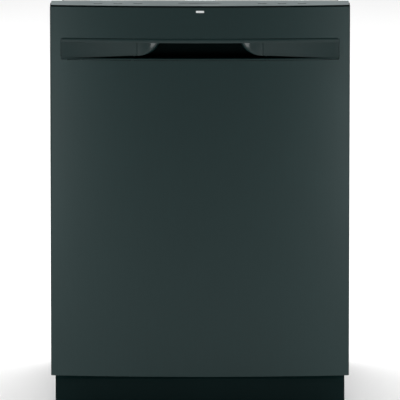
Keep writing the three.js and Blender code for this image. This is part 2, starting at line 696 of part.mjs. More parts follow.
// A plate whose top curls back under the door.
function toeKick() {
  const { side, top, bottom, front, lean, curl, sheet } = TOE_KICK;
  const half = HALF - side;
  const y = FRONT + front;
  const steps = 6;
  const face = (inset) => {
    const points = [[y + inset, bottom]];
    for (let i = 0; i <= steps; i++) {
      const angle = (Math.PI / 2) * (i / steps);
      const back = y + lean - (lean - inset) * Math.cos(angle);
      points.push([back, top - curl + (curl - inset) * Math.sin(angle)]);
    }
    return points;
  };
  return sidePrism(outline([...face(0), ...face(sheet).reverse()]), -half, half);
}

function levellingLeg() {
  const { pad, padHeight, stem, top, nut } = LEG;
  return join(
    bar(pad, [0, 0, 0], [0, 0, padHeight], 24),
    bar(stem, [0, 0, padHeight - 1], [0, 0, top], 16),
    bar(nut, [0, 0, BASE.bottom - 10], [0, 0, BASE.bottom - PLAY], 6),
  );
}

// ---- Machine space ----
// A pump on its side: a wide volute beside the sump, a motor behind it and a foot.
function pump({ z, volute, thick, motor, length, foot, from, to }) {
  const x = SUMP.radius + PUMP_GAP;
  return join(
    bar(volute, [x, SUMP_Y, z], [x + thick, SUMP_Y, z], 28),
    bar(motor, [x + thick - 1, SUMP_Y, z], [x + length, SUMP_Y, z], 28),
    block([x + from, SUMP_Y - foot, TRAY], [x + to, SUMP_Y + foot, z]),
  );
}

function inletValve() {
  const { side, front, width, depth, height } = VALVE;
  const { coil, tall, inlet, stub } = VALVE_PORTS;
  const x = -BASE_HALF + side;
  const y = BASE_FRONT + front;
  const [cx, cy] = [x + width / 2, y + depth / 2];
  const top = TRAY + height;
  const mid = TRAY + height / 2;
  return join(
    block([x, y, TRAY], [x + width, y + depth, top]),
    bar(coil, [cx, cy, top - 1], [cx, cy, top + tall], 20),
    bar(inlet, [cx, y - stub, mid], [cx, y + 1, mid], 16),
  );
}

function junctionBox() {
  const { side, front, width, depth, height } = JUNCTION;
  const x = BASE_HALF - side;
  const y = BASE_FRONT + front;
  return block([x, y, TRAY], [x + width, y + depth, TRAY + height]);
}

// ---- Door fittings ----
function dispenser() {
  const half = DISPENSER.width / 2;
  const body = block(
    [-half, LINER_FRONT - DISPENSER.depth, DISPENSER_Z],
    [half, LINER_BACK + DISPENSER.proud, DISPENSER_Z + DISPENSER.height],
  );
  const cup = block(
    [CUP.x - CUP.width / 2, LINER_BACK - CUP.depth, CUP_Z],
    [CUP.x + CUP.width / 2, LINER_BACK + DISPENSER.proud + 1, CUP_Z + CUP.height],
  );
  return cut(body, cup);
}

function detergentLid() {
  const { sheet, margin, grip, bar: ridge, proud } = LID;
  const half = CUP.width / 2 + margin;
  const top = CUP_Z + CUP.height;
  const plate = block(
    [CUP.x - half, FITTING_Y, CUP_Z - margin],
    [CUP.x + half, FITTING_Y + sheet, top + margin],
  );
  const handle = block(
    [CUP.x - grip, FITTING_Y + 1, top - 2 * ridge],
    [CUP.x + grip, FITTING_Y + sheet + proud, top - ridge],
  );
  return join(plate, handle);
}

function rinseCap() {
  const { radius, height, x, above, grip, bar: ridge, proud } = CAP;
  const z = DISPENSER_Z + above;
  const disc = bar(radius, [x, FITTING_Y, z], [x, FITTING_Y + height, z], 28);
  const handle = block(
    [x - grip, FITTING_Y, z - ridge],
    [x + grip, FITTING_Y + height + proud, z + ridge],
  );
  return join(disc, handle);
}

function lowerSeal() {
  const half = TUB_HALF - SEAL.side;
  return block(
    [-half, LINER_BACK - SEAL.depth, LINER_BOTTOM - SEAL.below],
    [half, LINER_BACK + SEAL.proud, LINER_BOTTOM - GAP],
  );
}

function controlBoard() {
  const y = LINER_FRONT - BOARD.behind;
  const z = HANDLE_BOTTOM - BOARD.below;
  const card = block([-BOARD.half, y, z], [BOARD.half, y + BOARD.sheet, z + BOARD.height]);
  const parts = BOARD_PARTS.map(({ from, to, low, high, tall }) =>
    block([from, y - tall, z + low], [to, y + 1, z + high]),
  );
  return join(card, ...parts);
}

// ---- Racks ----
// The gaps between square wires spaced evenly from one end to the other. The end wires are wider by an edge.
function wireGaps(from, to, count, edge = 1) {
  const gaps = [];
  for (let i = 0; i < count; i++) {
    const start = from + Math.round(((to - from - WIRE) * i) / count) + WIRE;
    const end = from + Math.round(((to - from - WIRE) * (i + 1)) / count);
    gaps.push([start + (i ? 0 : edge), end - (i < count - 1 ? 0 : edge)]);
  }
  return gaps;
}

// A basket of square wires between two corners, open at the top.
function wireBasket([x0, y0, z0], [x1, y1, z1], across, along) {
  const inside = block([x0 + WIRE, y0 + WIRE, z0 + WIRE], [x1 - WIRE, y1 - WIRE, z1 + 1]);
  const tools = [inside];
  const sill = z0 + WIRE + 1;
  const rim = z1 - WIRE;
  for (const [a, b] of wireGaps(x0, x1, across)) {
    tools.push(block([a, y0 - 1, sill], [b, y1 + 1, rim]));
    for (const [c, d] of wireGaps(y0, y1, along)) {
      tools.push(block([a, c, z0 - 1], [b, d, z0 + WIRE + 1]));
    }
  }
  for (const [c, d] of wireGaps(y0, y1, along)) {
    tools.push(block([x0 - 1, c, sill], [x1 + 1, d, rim]));
  }
  return cut(block([x0, y0, z0], [x1, y1, z1]), ...tools);
}

function rackBox({ side, front, rear }, bottom, top) {
  const half = HALF - side - TUB_SIDE;
  return [
    [-half, LINER_BACK + front, bottom],
    [half, BACK - rear, top],
  ];
}

function wheelPlaces() {
  const z = DECK + WHEEL.radius + PLAY;
  return [
    ["front", LINER_BACK + WHEEL.front, z],
    ["rear", BACK - WHEEL.rear, z],
  ];
}

function wheelX(side) {
  return side * (TUB_IN - WHEEL.side - WHEEL.width / 2);
}

// The basket, with a hanger and an axle for each wheel.
function lowerRack() {
  const [low, high] = rackBox(LOWER_RACK, LOWER_BOTTOM, LOWER_TOP);
  const x = high[0];
  const hangers = [];
  for (const [, y, z] of wheelPlaces()) {
    const reach = WHEEL.hanger;
    const strap = block([x - WIRE, y - reach, z - reach], [x, y + reach, LOWER_BOTTOM + WIRE]);
    const axle = bar(WHEEL.bore, [x - 2, y, z], [wheelX(1) + WHEEL.bore, y, z], 12);
    const hanger = join(strap, axle);
    hangers.push(hanger, mirrored(hanger, -1));
  }
  return join(wireBasket(low, high, LOWER_RACK.across, LOWER_RACK.along), ...hangers);
}

function rackWheel() {
  const half = WHEEL.width / 2;
  const disc = bar(WHEEL.radius, [-half, 0, 0], [half, 0, 0], 24);
  const bore = bar(WHEEL.bore + GAP, [-half - 1, 0, 0], [half + 1, 0, 0], 12);
  return cut(disc, bore);
}

// The basket, with a runner each side that slides in the rail.
function upperRack() {
  const [low, high] = rackBox(UPPER_RACK, UPPER_BOTTOM, UPPER_TOP);
  const runner = block(
    [high[0] - 1, low[1] + RUNNER.front, RAIL_Z - RUNNER.half],
    [TUB_IN - RUNNER.side, high[1] - RUNNER.rear, RAIL_Z + RUNNER.half],
  );
  const basket = wireBasket(low, high, UPPER_RACK.across, UPPER_RACK.along);
  return join(basket, runner, mirrored(runner, -1));
}

function cupShelf() {
  const { width, length, sheet, gap, slots, rib, edge } = SHELF;
  const [low, high] = rackBox(UPPER_RACK, UPPER_BOTTOM, UPPER_TOP);
  const x = low[0] + WIRE + gap;
  const y = (low[1] + high[1] - length) / 2;
  const plate = block([x, y, SHELF_Z], [x + width, y + length, SHELF_Z + sheet]);
  const pitch = length / slots;
  const openings = [];
  for (let i = 0; i < slots; i++) {
    const start = y + pitch * i + rib / 2;
    openings.push(
      block([x + edge, start, SHELF_Z - 1], [x + width - edge, start + pitch - rib, SHELF_Z + sheet + 1]),
    );
  }
  return cut(plate, ...openings);
}

function foldTines() {
  const { x, count, height, pitch, rod, half } = TINES;
  const y0 = SUMP_Y - (count * pitch) / 2;
  const spine = bar(rod, [x, y0, TINES_Z], [x, y0 + count * pitch, TINES_Z], 12);
  const tines = [];
  for (let i = 0; i < count; i++) {
    const y = y0 + pitch * (i + 0.5);
    tines.push(block([x - half, y - half, TINES_Z], [x + half, y + half, TINES_Z + height]));
  }
  return join(spine, ...tines);
}

function silverwareBasket() {
  const { side, width, front, length, height, wall, cells } = BASKET;
  const [low, high] = rackBox(LOWER_RACK, LOWER_BOTTOM, LOWER_TOP);
  const x1 = high[0] - side;
  const x0 = x1 - width;
  const y0 = low[1] + front;
  const z0 = LOWER_BOTTOM + WIRE + PLAY;
  const shell = block([x0, y0, z0], [x1, y0 + length, z0 + height]);
  const pitch = (length - wall) / cells;
  const rooms = [];
  for (let i = 0; i < cells; i++) {
    const y = y0 + wall + pitch * i;
    rooms.push(block([x0 + wall, y, z0 + wall], [x1 - wall, y + pitch - wall, z0 + height + 1]));
  }
  return cut(shell, ...rooms);
}

// ---- Assembly ----
function addCabinet() {
  place("tub", tub(), stainless);
  place("tub_gasket", gasket(), rubber);
  place("insulation_blanket", blanket(), blanketFelt);
  place("base_frame", baseTray(), blackPlastic);
  place("toe_kick", toeKick(), toePaint);
  place("sump", sumpBowl(), greyPlastic);
  place("circulation_pump", mirrored(pump(CIRCULATION), -1), blackPlastic);
  place("drain_pump", pump(DRAIN), blackPlastic);
  place("inlet_valve", inletValve(), whitePlastic);
  place("junction_box", junctionBox(), galvanised);
  place("heating_element", heater(), stainless);
  place("filter_plate", filterPlate(), stainless);
  place("spray_conduit", sprayConduit(), greyPlastic);
  place("top_sprinkler", topSprinkler(), greyPlastic);
  place("door_strike", doorStrike(), galvanised);
  for (const [word, side] of [["left", -1], ["right", 1]]) {
    place("rack_rail_" + word, rackRail(side), stainless);
    place("counter_bracket_" + word, counterBracket(side), galvanised);
    place("hinge_bracket_" + word, hingeBracket(side), galvanised);
    place("door_spring_" + word, doorSpring(side), galvanised);
  }
  for (const [word, x, y] of legPlaces()) {
    place("levelling_leg_" + word, levellingLeg(), greyPlastic, [x, y, 0]);
  }
}

function addDoor() {
  place("door_outer_panel", outerPanel(), slate);
  place("pocket_handle", pocketHandle(), pocketPlastic);
  place("door_inner_liner", innerLiner(), stainless);
  place("control_console", controlConsole(), consoleGrey);
  const half = LIGHT.width / 2 - GAP;
  const tall = LIGHT.height / 2 - GAP;
  const lamp = block([-half, 0, -tall], [half, LIGHT.depth, tall]);
  place("status_light", lamp, lightWindow, [0, FRONT + LIGHT.sunk, HEIGHT - LIGHT.below]);
  const pane = block(
    [-WINDOW.width / 2, -WINDOW.depth / 2, 0],
    [WINDOW.width / 2, WINDOW.depth / 2, WINDOW.height],
  );
  place("display_window", pane, darkGlass, [0, buttonLine(), PANEL_TOP - WINDOW.height]);
  const key = block(
    [-BUTTON.width / 2, -BUTTON.depth / 2, 0],
    [BUTTON.width / 2, BUTTON.depth / 2, BUTTON.height],
  );
  buttonPlaces().forEach(([x, y], i) => {
    place("button_" + (i + 1), key, blackPlastic, [x, y, HEIGHT - BUTTON.height]);
  });
  place("latch_hook", latchHook(), galvanised);
  place("detergent_dispenser", dispenser(), greyPlastic);
  place("detergent_lid", detergentLid(), greyPlastic);
  place("rinse_aid_cap", rinseCap(), blackPlastic);
  place("lower_door_seal", lowerSeal(), rubber);
  place("control_board", controlBoard(), boardGreen);
  place("hinge_arm_left", hingeArm(-1), galvanised);
  place("hinge_arm_right", hingeArm(1), galvanised);
}

function addInterior() {
  place("filter_cylinder", filterCylinder(), greyPlastic);
  place("float", floatBody(), greyPlastic);
  place("lower_spray_arm", sprayArm(ARM_LOWER, ARM_LOWER_Z), greyPlastic);
  place("upper_spray_arm", sprayArm(ARM_UPPER, ARM_UPPER_Z), greyPlastic);
  place("upper_rack", upperRack(), rackCoat);
  place("cup_shelf", cupShelf(), rackCoat);
  place("lower_rack", lowerRack(), rackCoat);
  place("fold_down_tines", foldTines(), rackCoat);
  place("silverware_basket", silverwareBasket(), greyPlastic);
  for (const [end, y, z] of wheelPlaces()) {
    for (const [word, side] of [["left", -1], ["right", 1]]) {
      place("rack_wheel_" + end + "_" + word, rackWheel(), greyPlastic, [wheelX(side), y, z]);
    }
  }
}

addCabinet();
addDoor();
addInterior();

export default dishwasher;
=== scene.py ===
"""The looks of a built-in dishwasher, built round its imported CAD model."""

import json
import math

import bmesh
import bpy
from mathutils import Matrix, Vector


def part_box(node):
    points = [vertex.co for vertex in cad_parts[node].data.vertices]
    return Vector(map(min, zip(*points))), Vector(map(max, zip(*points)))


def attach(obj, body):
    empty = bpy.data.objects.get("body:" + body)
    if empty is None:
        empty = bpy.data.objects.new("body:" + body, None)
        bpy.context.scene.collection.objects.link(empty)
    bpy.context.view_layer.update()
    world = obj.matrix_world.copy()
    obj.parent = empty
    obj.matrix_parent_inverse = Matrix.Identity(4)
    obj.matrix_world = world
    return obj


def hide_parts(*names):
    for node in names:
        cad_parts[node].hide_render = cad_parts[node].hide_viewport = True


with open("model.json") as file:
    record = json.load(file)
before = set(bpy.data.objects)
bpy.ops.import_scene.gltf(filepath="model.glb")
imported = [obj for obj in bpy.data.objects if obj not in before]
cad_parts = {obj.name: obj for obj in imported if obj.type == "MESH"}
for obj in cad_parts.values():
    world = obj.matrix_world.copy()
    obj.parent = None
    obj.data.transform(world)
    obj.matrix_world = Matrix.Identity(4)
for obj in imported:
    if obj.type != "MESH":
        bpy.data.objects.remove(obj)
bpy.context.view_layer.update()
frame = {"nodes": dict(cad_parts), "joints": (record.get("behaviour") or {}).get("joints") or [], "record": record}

# ---- Sizes shared with the CAD model, in metres ----
MM = 0.001

panel_low, panel_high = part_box("door_outer_panel")
console_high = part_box("control_console")[1]
HALF = panel_high.x
FRONT = panel_low.y
DOOR_TOP = console_high.z
DOOR_BOTTOM = panel_low.z
LINER_BACK = console_high.y
# The buttons stand 0.8 mm proud of the console, at the machine's full height.
FULL_HEIGHT = DOOR_TOP + 0.8 * MM
HANDLE_TOP = FULL_HEIGHT - 67.3 * MM
HANDLE_LOW = HANDLE_TOP - 44.5 * MM
HANDLE_HALF = HALF - 21.7 * MM
LIGHT_Z = FULL_HEIGHT - 12.5 * MM
LENS_HALF = 8.2 * MM
LENS_RISE = 2.1 * MM
SEAM = 3.3 * MM
BOW = 16 * MM
BOW_RADIUS = (HALF * HALF + BOW * BOW) / (2 * BOW)
SKIN = 1.5 * MM
HINGE = next(joint for joint in frame["joints"] if joint["name"] == "door_hinge")
HINGE_Y = HINGE["pos_m"][1]
latch_low, latch_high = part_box("latch_hook")


def front_at(x, inset=0.0):
    """Depth of the bowed face at x, or of a face that lies an inset behind it."""
    radius = BOW_RADIUS - inset
    return FRONT + BOW_RADIUS - math.sqrt(radius * radius - x * x)


# ---- Camera, world and lights ----
def make_camera():
    elevation = math.radians(10.5)
    distance = 17.0
    width_seen = 0.8058
    target = Vector((0.0, FRONT, 0.4538))
    data = bpy.data.cameras.new("camera")
    data.sensor_width = 36.0
    data.lens = data.sensor_width * distance / width_seen
    data.clip_start = 0.5
    data.clip_end = 100.0
    camera = bpy.data.objects.new("camera", data)
    bpy.context.scene.collection.objects.link(camera)
    back = Vector((0.0, -math.cos(elevation), math.sin(elevation)))
    camera.location = target + back * distance
    camera.rotation_mode = "QUATERNION"
    camera.rotation_quaternion = (-back).to_track_quat("-Z", "Y")
    bpy.context.scene.camera = camera


def make_world():
    """A pale studio: bright overhead, dimmer towards the horizon."""
    world = bpy.data.worlds.new("studio")
    bpy.context.scene.world = world
    world.use_nodes = True
    tree = world.node_tree
    background = tree.nodes["Background"]
    place = tree.nodes.new("ShaderNodeTexCoord")
    split = tree.nodes.new("ShaderNodeSeparateXYZ")
    ramp = tree.nodes.new("ShaderNodeMapRange")
    ramp.interpolation_type = "SMOOTHSTEP"
    for name, value in (("From Min", 0.0), ("From Max", 0.75), ("To Min", 0.04), ("To Max", 0.32)):
        ramp.inputs[name].default_value = value
    tree.links.new(place.outputs["Generated"], split.inputs[0])
    tree.links.new(split.outputs["Z"], ramp.inputs["Value"])
    tree.links.new(ramp.outputs["Result"], background.inputs["Strength"])
    background.inputs["Color"].default_value = (1.0, 1.0, 1.0, 1.0)
    bpy.context.scene.view_settings.view_transform = "Standard"


def area_light(name, place, target, size, power):
    data = bpy.data.lights.new(name, "AREA")
    data.shape = "RECTANGLE"
    data.size, data.size_y = size
    data.energy = power
    light = bpy.data.objects.new(name, data)
    bpy.context.scene.collection.objects.link(light)
    light.location = place
    light.rotation_mode = "QUATERNION"
    aim = Vector(target) - Vector(place)
    light.rotation_quaternion = aim.to_track_quat("-Z", "Y")
    light.visible_camera = False


def make_lights():
    """Two low softboxes in front of the door, and a large soft light behind and above the machine."""
    softbox_power = 9.5
    overhead_power = 380
    for name, x in (("left", -1.35), ("right", 1.35)):
        area_light(name, (x, -2.45, 0.24), (0, -0.3, 0.4), (0.9, 0.42), softbox_power)
    area_light("overhead", (0, 1.9, 4.0), (0, 1.9, 0), (6.0, 6.0), overhead_power)


# ---- Materials ----
class Surface:
    """A node material: one principled shader, with textures in object space that vary it."""

    def __init__(self, name, color, roughness, metallic=0.0, specular=0.5):
        self.material = bpy.data.materials.new(name)
        self.material.use_nodes = True
        self.tree = self.material.node_tree
        self.shader = self.tree.nodes["Principled BSDF"]
        self.color = color
        self.roughness = roughness
        self.shader.inputs["Base Color"].default_value = (*color, 1.0)
        self.shader.inputs["Roughness"].default_value = roughness
        self.shader.inputs["Metallic"].default_value = metallic
        self.shader.inputs["Specular IOR Level"].default_value = specular
        self.normal = None

    def node(self, kind, **inputs):
        made = self.tree.nodes.new(kind)
        for name, value in inputs.items():
            made.inputs[name.replace("_", " ")].default_value = value
        return made

    def link(self, source, target):
        self.tree.links.new(source, target)

    def noise(self, scale, stretch=(1, 1, 1), detail=3.0, roughness=0.55):
        place = self.node("ShaderNodeTexCoord")
        mapping = self.node("ShaderNodeMapping")
        mapping.inputs["Scale"].default_value = stretch
        texture = self.node("ShaderNodeTexNoise", Scale=scale, Detail=detail, Roughness=roughness)
        self.link(place.outputs["Object"], mapping.inputs["Vector"])
        self.link(mapping.outputs["Vector"], texture.inputs["Vector"])
        return texture.outputs["Fac"]

    def spread(self, factor, low, high):
        ramp = self.node("ShaderNodeMapRange")
        ramp.inputs["From Min"].default_value = 0.3
        ramp.inputs["From Max"].default_value = 0.7
        ramp.inputs["To Min"].default_value = low
        ramp.inputs["To Max"].default_value = high
        self.link(factor, ramp.inputs["Value"])
        return ramp.outputs["Result"]

    def vary_roughness(self, factor, amount):
        result = self.spread(factor, self.roughness - amount, self.roughness + amount)
        self.link(result, self.shader.inputs["Roughness"])
        return self

    def vary_color(self, factor, darker, lighter=1.0):
        mix = self.node("ShaderNodeMix")
        mix.data_type = "RGBA"
        mix.inputs[6].default_value = (*[c * darker for c in self.color], 1.0)
        mix.inputs[7].default_value = (*[min(1.0, c * lighter) for c in self.color], 1.0)
        self.link(self.spread(factor, 0.0, 1.0), mix.inputs[0])
        self.link(mix.outputs[2], self.shader.inputs["Base Color"])
        return self

    def bump(self, factor, depth, strength=1.0):
        made = self.node("ShaderNodeBump", Strength=strength, Distance=depth)
        self.link(factor, made.inputs["Height"])
        if self.normal is not None:
            self.link(self.normal, made.inputs["Normal"])
        self.normal = made.outputs["Normal"]
        self.link(self.normal, self.shader.inputs["Normal"])
        return self


def brushed(name, color, roughness, metallic, along, scale=900.0, depth=4e-6):
    """Fine streaks that run along one axis: 'x', 'y' or 'z'."""
    stretch = {axis: (0.012 if axis == along else 1.0) for axis in "xyz"}
    surface = Surface(name, color, roughness, metallic)
    streaks = surface.noise(scale, (stretch["x"], stretch["y"], stretch["z"]), 4.0, 0.6)
    clouds = surface.noise(6.0, detail=3.0)
    surface.vary_color(streaks, 0.93, 1.06)
    surface.vary_roughness(clouds, 0.04)
    surface.bump(streaks, depth, 0.5)
    return surface


def moulded(name, color, roughness, grain=2600.0, depth=8e-6, specular=0.5):
    """Moulded plastic: a fine spark-eroded grain and faint flow marks."""
    surface = Surface(name, color, roughness, specular=specular)
    fine = surface.noise(grain, detail=2.0)
    clouds = surface.noise(9.0, (1, 1, 0.4), detail=4.0)
    surface.vary_color(clouds, 0.94, 1.05)
    surface.vary_roughness(clouds, 0.05)
    surface.bump(fine, depth, 0.6)
    return surface


def make_materials():
    looks = {}
    slate = brushed("slate_steel", (0.0110, 0.0286, 0.0286), 0.42, 0.65, "z", 1100.0, 2.5e-6)
    slate.shader.inputs["Specular IOR Level"].default_value = 0.0
    slate.shader.inputs["Coat Weight"].default_value = 0.5
    slate.shader.inputs["Coat Roughness"].default_value = 0.28
    looks["slate_steel"] = slate
    handle = moulded("handle_plastic", (0.0094, 0.0262, 0.0262), 0.40, specular=0.12)
    handle.shader.inputs["Coat Weight"].default_value = 0.36
    handle.shader.inputs["Coat Roughness"].default_value = 0.14
    looks["handle_plastic"] = handle
    looks["console_finish"] = moulded("console_finish", (0.066, 0.090, 0.092), 0.42)
    looks["black_plastic"] = moulded("black_plastic", (0.0008, 0.0040, 0.0040), 0.5, specular=0.02)
    looks["grey_plastic"] = moulded("grey_plastic", (0.33, 0.35, 0.36), 0.48)
    looks["white_plastic"] = moulded("white_plastic", (0.80, 0.81, 0.81), 0.38)
    looks["light_window"] = moulded("light_window", (0.92, 0.95, 0.95), 0.25, depth=2e-6)
    looks["dark_glass"] = moulded("dark_glass", (0.045, 0.060, 0.062), 0.30, depth=5e-7)
    looks["stainless"] = brushed("stainless", (0.66, 0.67, 0.68), 0.30, 1.0, "x", 800.0, 3e-6)
    looks["galvanised"] = moulded("galvanised", (0.58, 0.60, 0.61), 0.42, 320.0, 6e-6)
    looks["galvanised"].shader.inputs["Metallic"].default_value = 0.9
    looks["toe_paint"] = moulded("toe_paint", (0.0038, 0.0132, 0.0132), 0.42, 1400.0, 4e-6, 0.05)
    looks["rubber"] = moulded("rubber", (0.045, 0.048, 0.050), 0.78, 1200.0, 2e-5, 0.3)
    looks["felt"] = felt()
    looks["rack_coat"] = moulded("rack_coat", (0.40, 0.43, 0.45), 0.33, 700.0, 1e-5)
    looks["board_green"] = moulded("board_green", (0.03, 0.11, 0.05), 0.45, 500.0, 1e-5)
    return {name: surface.material for name, surface in looks.items()}


def felt():
    surface = Surface("felt", (0.34, 0.34, 0.325), 0.95, specular=0.15)
    fibres = surface.noise(420.0, (1, 1, 1), 5.0, 0.75)
    lumps = surface.noise(28.0, detail=3.0)
    surface.vary_color(fibres, 0.80, 1.12)
    surface.bump(lumps, 2.5e-3, 0.5)
    surface.bump(fibres, 4e-4, 0.7)
    return surface


make_camera()
make_world()
make_lights()
LOOKS = make_materials()
NODE_SLOT = {entry["node"]: entry["material_slot"] for entry in frame["record"]["subparts"]}
NODE_BODY = {
    node: body for body, nodes in frame["record"]["behaviour"]["bodies"].items() for node in nodes
}


def dress_cad_nodes():
    for name, node in frame["nodes"].items():
        node.data.materials.clear()
        node.data.materials.append(LOOKS[NODE_SLOT[name]])


dress_cad_nodes()


# ---- Piece makers ----
def finish_piece(piece, body, slot, replaced=(), smooth=35.0):
    """Gives a new piece its material and its body, and hides the CAD nodes that it stands for."""
    if not piece.data.materials:
        piece.data.materials.append(LOOKS[slot])
    if smooth and piece.type == "MESH":
        shade(piece, smooth)
    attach(piece, body)
    if replaced:
        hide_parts(*replaced)
    return piece


def shade(piece, angle):
    for polygon in piece.data.polygons:
        polygon.use_smooth = True
    piece.data.set_sharp_from_angle(angle=math.radians(angle))


def new_object(name, data):
    piece = bpy.data.objects.new(name, data)
    bpy.context.scene.collection.objects.link(piece)
    return piece


def mesh_piece(name, verts, faces):
    data = bpy.data.meshes.new(name)
    data.from_pydata([tuple(v) for v in verts], [], faces)
    data.update()
    return new_object(name, data)


def from_bmesh(name, bm):
    bmesh.ops.recalc_face_normals(bm, faces=bm.faces)
    data = bpy.data.meshes.new(name)
    bm.to_mesh(data)
    bm.free()
    return new_object(name, data)


def prism(name, outline, low, high, axis="z"):
    """A closed outline (counter-clockwise) carried along an axis: plan, front or side view."""
    to_3d = {
        "z": lambda a, b, c: (a, b, c),
        "y": lambda a, b, c: (a, c, b),
        "x": lambda a, b, c: (c, a, b),
    }[axis]
    bm = bmesh.new()
    bottom = [bm.verts.new(to_3d(a, b, low)) for a, b in outline]
    top = [bm.verts.new(to_3d(a, b, high)) for a, b in outline]
    bm.faces.new(bottom[::-1])
    bm.faces.new(top)
    count = len(outline)
    for i in range(count):
        j = (i + 1) % count
        bm.faces.new((bottom[i], bottom[j], top[j], top[i]))
    return from_bmesh(name, bm)


def box_piece(name, low, high):
    outline = [(low[0], low[1]), (high[0], low[1]), (high[0], high[1]), (low[0], high[1])]
    return prism(name, outline, low[2], high[2])


def bevel(piece, width, segments=2, angle=35.0):
    made = piece.modifiers.new("bevel", "BEVEL")
    made.width = width
    made.segments = segments
    made.limit_method = "ANGLE"
    made.angle_limit = math.radians(angle)
    made.harden_normals = True
    return piece


def apply_modifiers(piece):
    depsgraph = bpy.context.evaluated_depsgraph_get()
    data = bpy.data.meshes.new_from_object(piece.evaluated_get(depsgraph))
    piece.modifiers.clear()
    piece.data = data
    return piece


def combine(piece, other, operation):
    """Applies a boolean with another piece, which goes away."""
    made = piece.modifiers.new("boolean", "BOOLEAN")
    made.operation = operation
    made.solver = "EXACT"
    made.object = other
    apply_modifiers(piece)
    bpy.data.objects.remove(other)
    return piece


def join_pieces(name, pieces):
    bm = bmesh.new()
    for piece in pieces:
        if piece.modifiers or piece.type != "MESH":
            apply_modifiers(piece)
        bm.from_mesh(piece.data)
    for piece in pieces:
        bpy.data.objects.remove(piece)
    data = bpy.data.meshes.new(name)
    bm.to_mesh(data)
    bm.free()
    return new_object(name, data)


def lathe(name, profile, centre, axis="z", steps=48):
    """Turns a profile of (radius, height) points, from the axis to the axis, into a closed body."""
    bm = bmesh.new()
    rings = []
    turn = {
        "z": lambda r, a, h: (r * math.cos(a), r * math.sin(a), h),
        "y": lambda r, a, h: (r * math.sin(a), h, r * math.cos(a)),
        "x": lambda r, a, h: (h, r * math.cos(a), r * math.sin(a)),
    }[axis]
    for radius, height in profile:
        if radius < 1e-6:
            rings.append([bm.verts.new(turn(0.0, 0.0, height))])
        else:
            angles = [2 * math.pi * i / steps for i in range(steps)]
            rings.append([bm.verts.new(turn(radius, a, height)) for a in angles])
    for first, second in zip(rings, rings[1:]):
        for i in range(steps):
            j = (i + 1) % steps
            if len(first) == 1 and len(second) == 1:
                break
            if len(first) == 1:
                bm.faces.new((first[0], second[i], second[j]))
            elif len(second) == 1:
                bm.faces.new((first[i], first[j], second[0]))
            else:
                bm.faces.new((first[i], first[j], second[j], second[i]))
    bmesh.ops.translate(bm, vec=Vector(centre), verts=bm.verts)
    return from_bmesh(name, bm)


def wires(name, runs, radius, resolution=3):
    """Round wires through lists of points, as one curve object. A run is (points, closed)."""
    data = bpy.data.curves.new(name, "CURVE")
    data.dimensions = "3D"
    data.bevel_depth = radius
    data.bevel_resolution = resolution
    data.use_fill_caps = True
    for points, closed in runs:
        spline = data.splines.new("POLY")
        spline.points.add(len(points) - 1)
        for target, point in zip(spline.points, points):
            target.co = (*point, 1.0)
        spline.use_cyclic_u = closed
    return new_object(name, data)


def arc(centre, radius, start, end, steps):
    """Points of an arc in a plane, with angles in degrees."""
    made = []
    for i in range(steps + 1):
        angle = math.radians(start + (end - start) * i / steps)
        made.append((centre[0] + radius * math.cos(angle), centre[1] + radius * math.sin(angle)))
    return made


def rounded_rect(x0, y0, x1, y1, radius, steps=6):
    return (
        arc((x1 - radius, y0 + radius), radius, -90, 0, steps)
        + arc((x1 - radius, y1 - radius), radius, 0, 90, steps)
        + arc((x0 + radius, y1 - radius), radius, 90, 180, steps)
        + arc((x0 + radius, y0 + radius), radius, 180, 270, steps)
    )


# ---- Door shell ----
CORNER_STEPS = 8


def bowed_outline(half, inset, back, corner, steps=72):
    """Plan of a bowed body with rounded front corners, counter-clockwise from its left front."""
    centre = Vector((half - corner, front_at(half - corner, inset + corner)))
    middle = Vector((0.0, FRONT + BOW_RADIUS))
    lean = (centre - middle).normalized()
    end_angle = math.degrees(math.atan2(lean.y, lean.x))
    reach = centre.x + lean.x * corner
    points = []
    for i in range(steps + 1):
        x = reach * (2 * i / steps - 1)
        points.append((x, front_at(x, inset)))
    right = arc(centre, corner, end_angle, 0, CORNER_STEPS)[1:]
    left = [(-x, y) for x, y in reversed(right)]
    return points + right + [(half, back), (-half, back)] + left


def ring_outline(outer, inner):
    """The outline of a sheet that follows an outer path and comes back along an inner one."""
    return outer + inner[::-1]


def open_path(outline):
    """The part of a bowed outline from the left rear, round the front, to the right rear."""
    left_start = len(outline) - CORNER_STEPS - 1
    return outline[left_start:] + outline[:left_start]


def smooth_bow(piece):
    """Gives the bowed face the true arc's normals, so the cut-outs leave no streaks in its reflections."""
    data = piece.data
    normals = [normal.vector.copy() for normal in data.corner_normals]
    for polygon in data.polygons:
        if polygon.normal.y > -0.98 or abs(polygon.normal.z) > 1e-3:
            continue
        for corner in polygon.loop_indices:
            x = data.vertices[data.loops[corner].vertex_index].co.x
            lean = x / BOW_RADIUS
            normals[corner] = Vector((lean, -math.sqrt(1 - lean * lean), 0))
    data.normals_split_custom_set(normals)


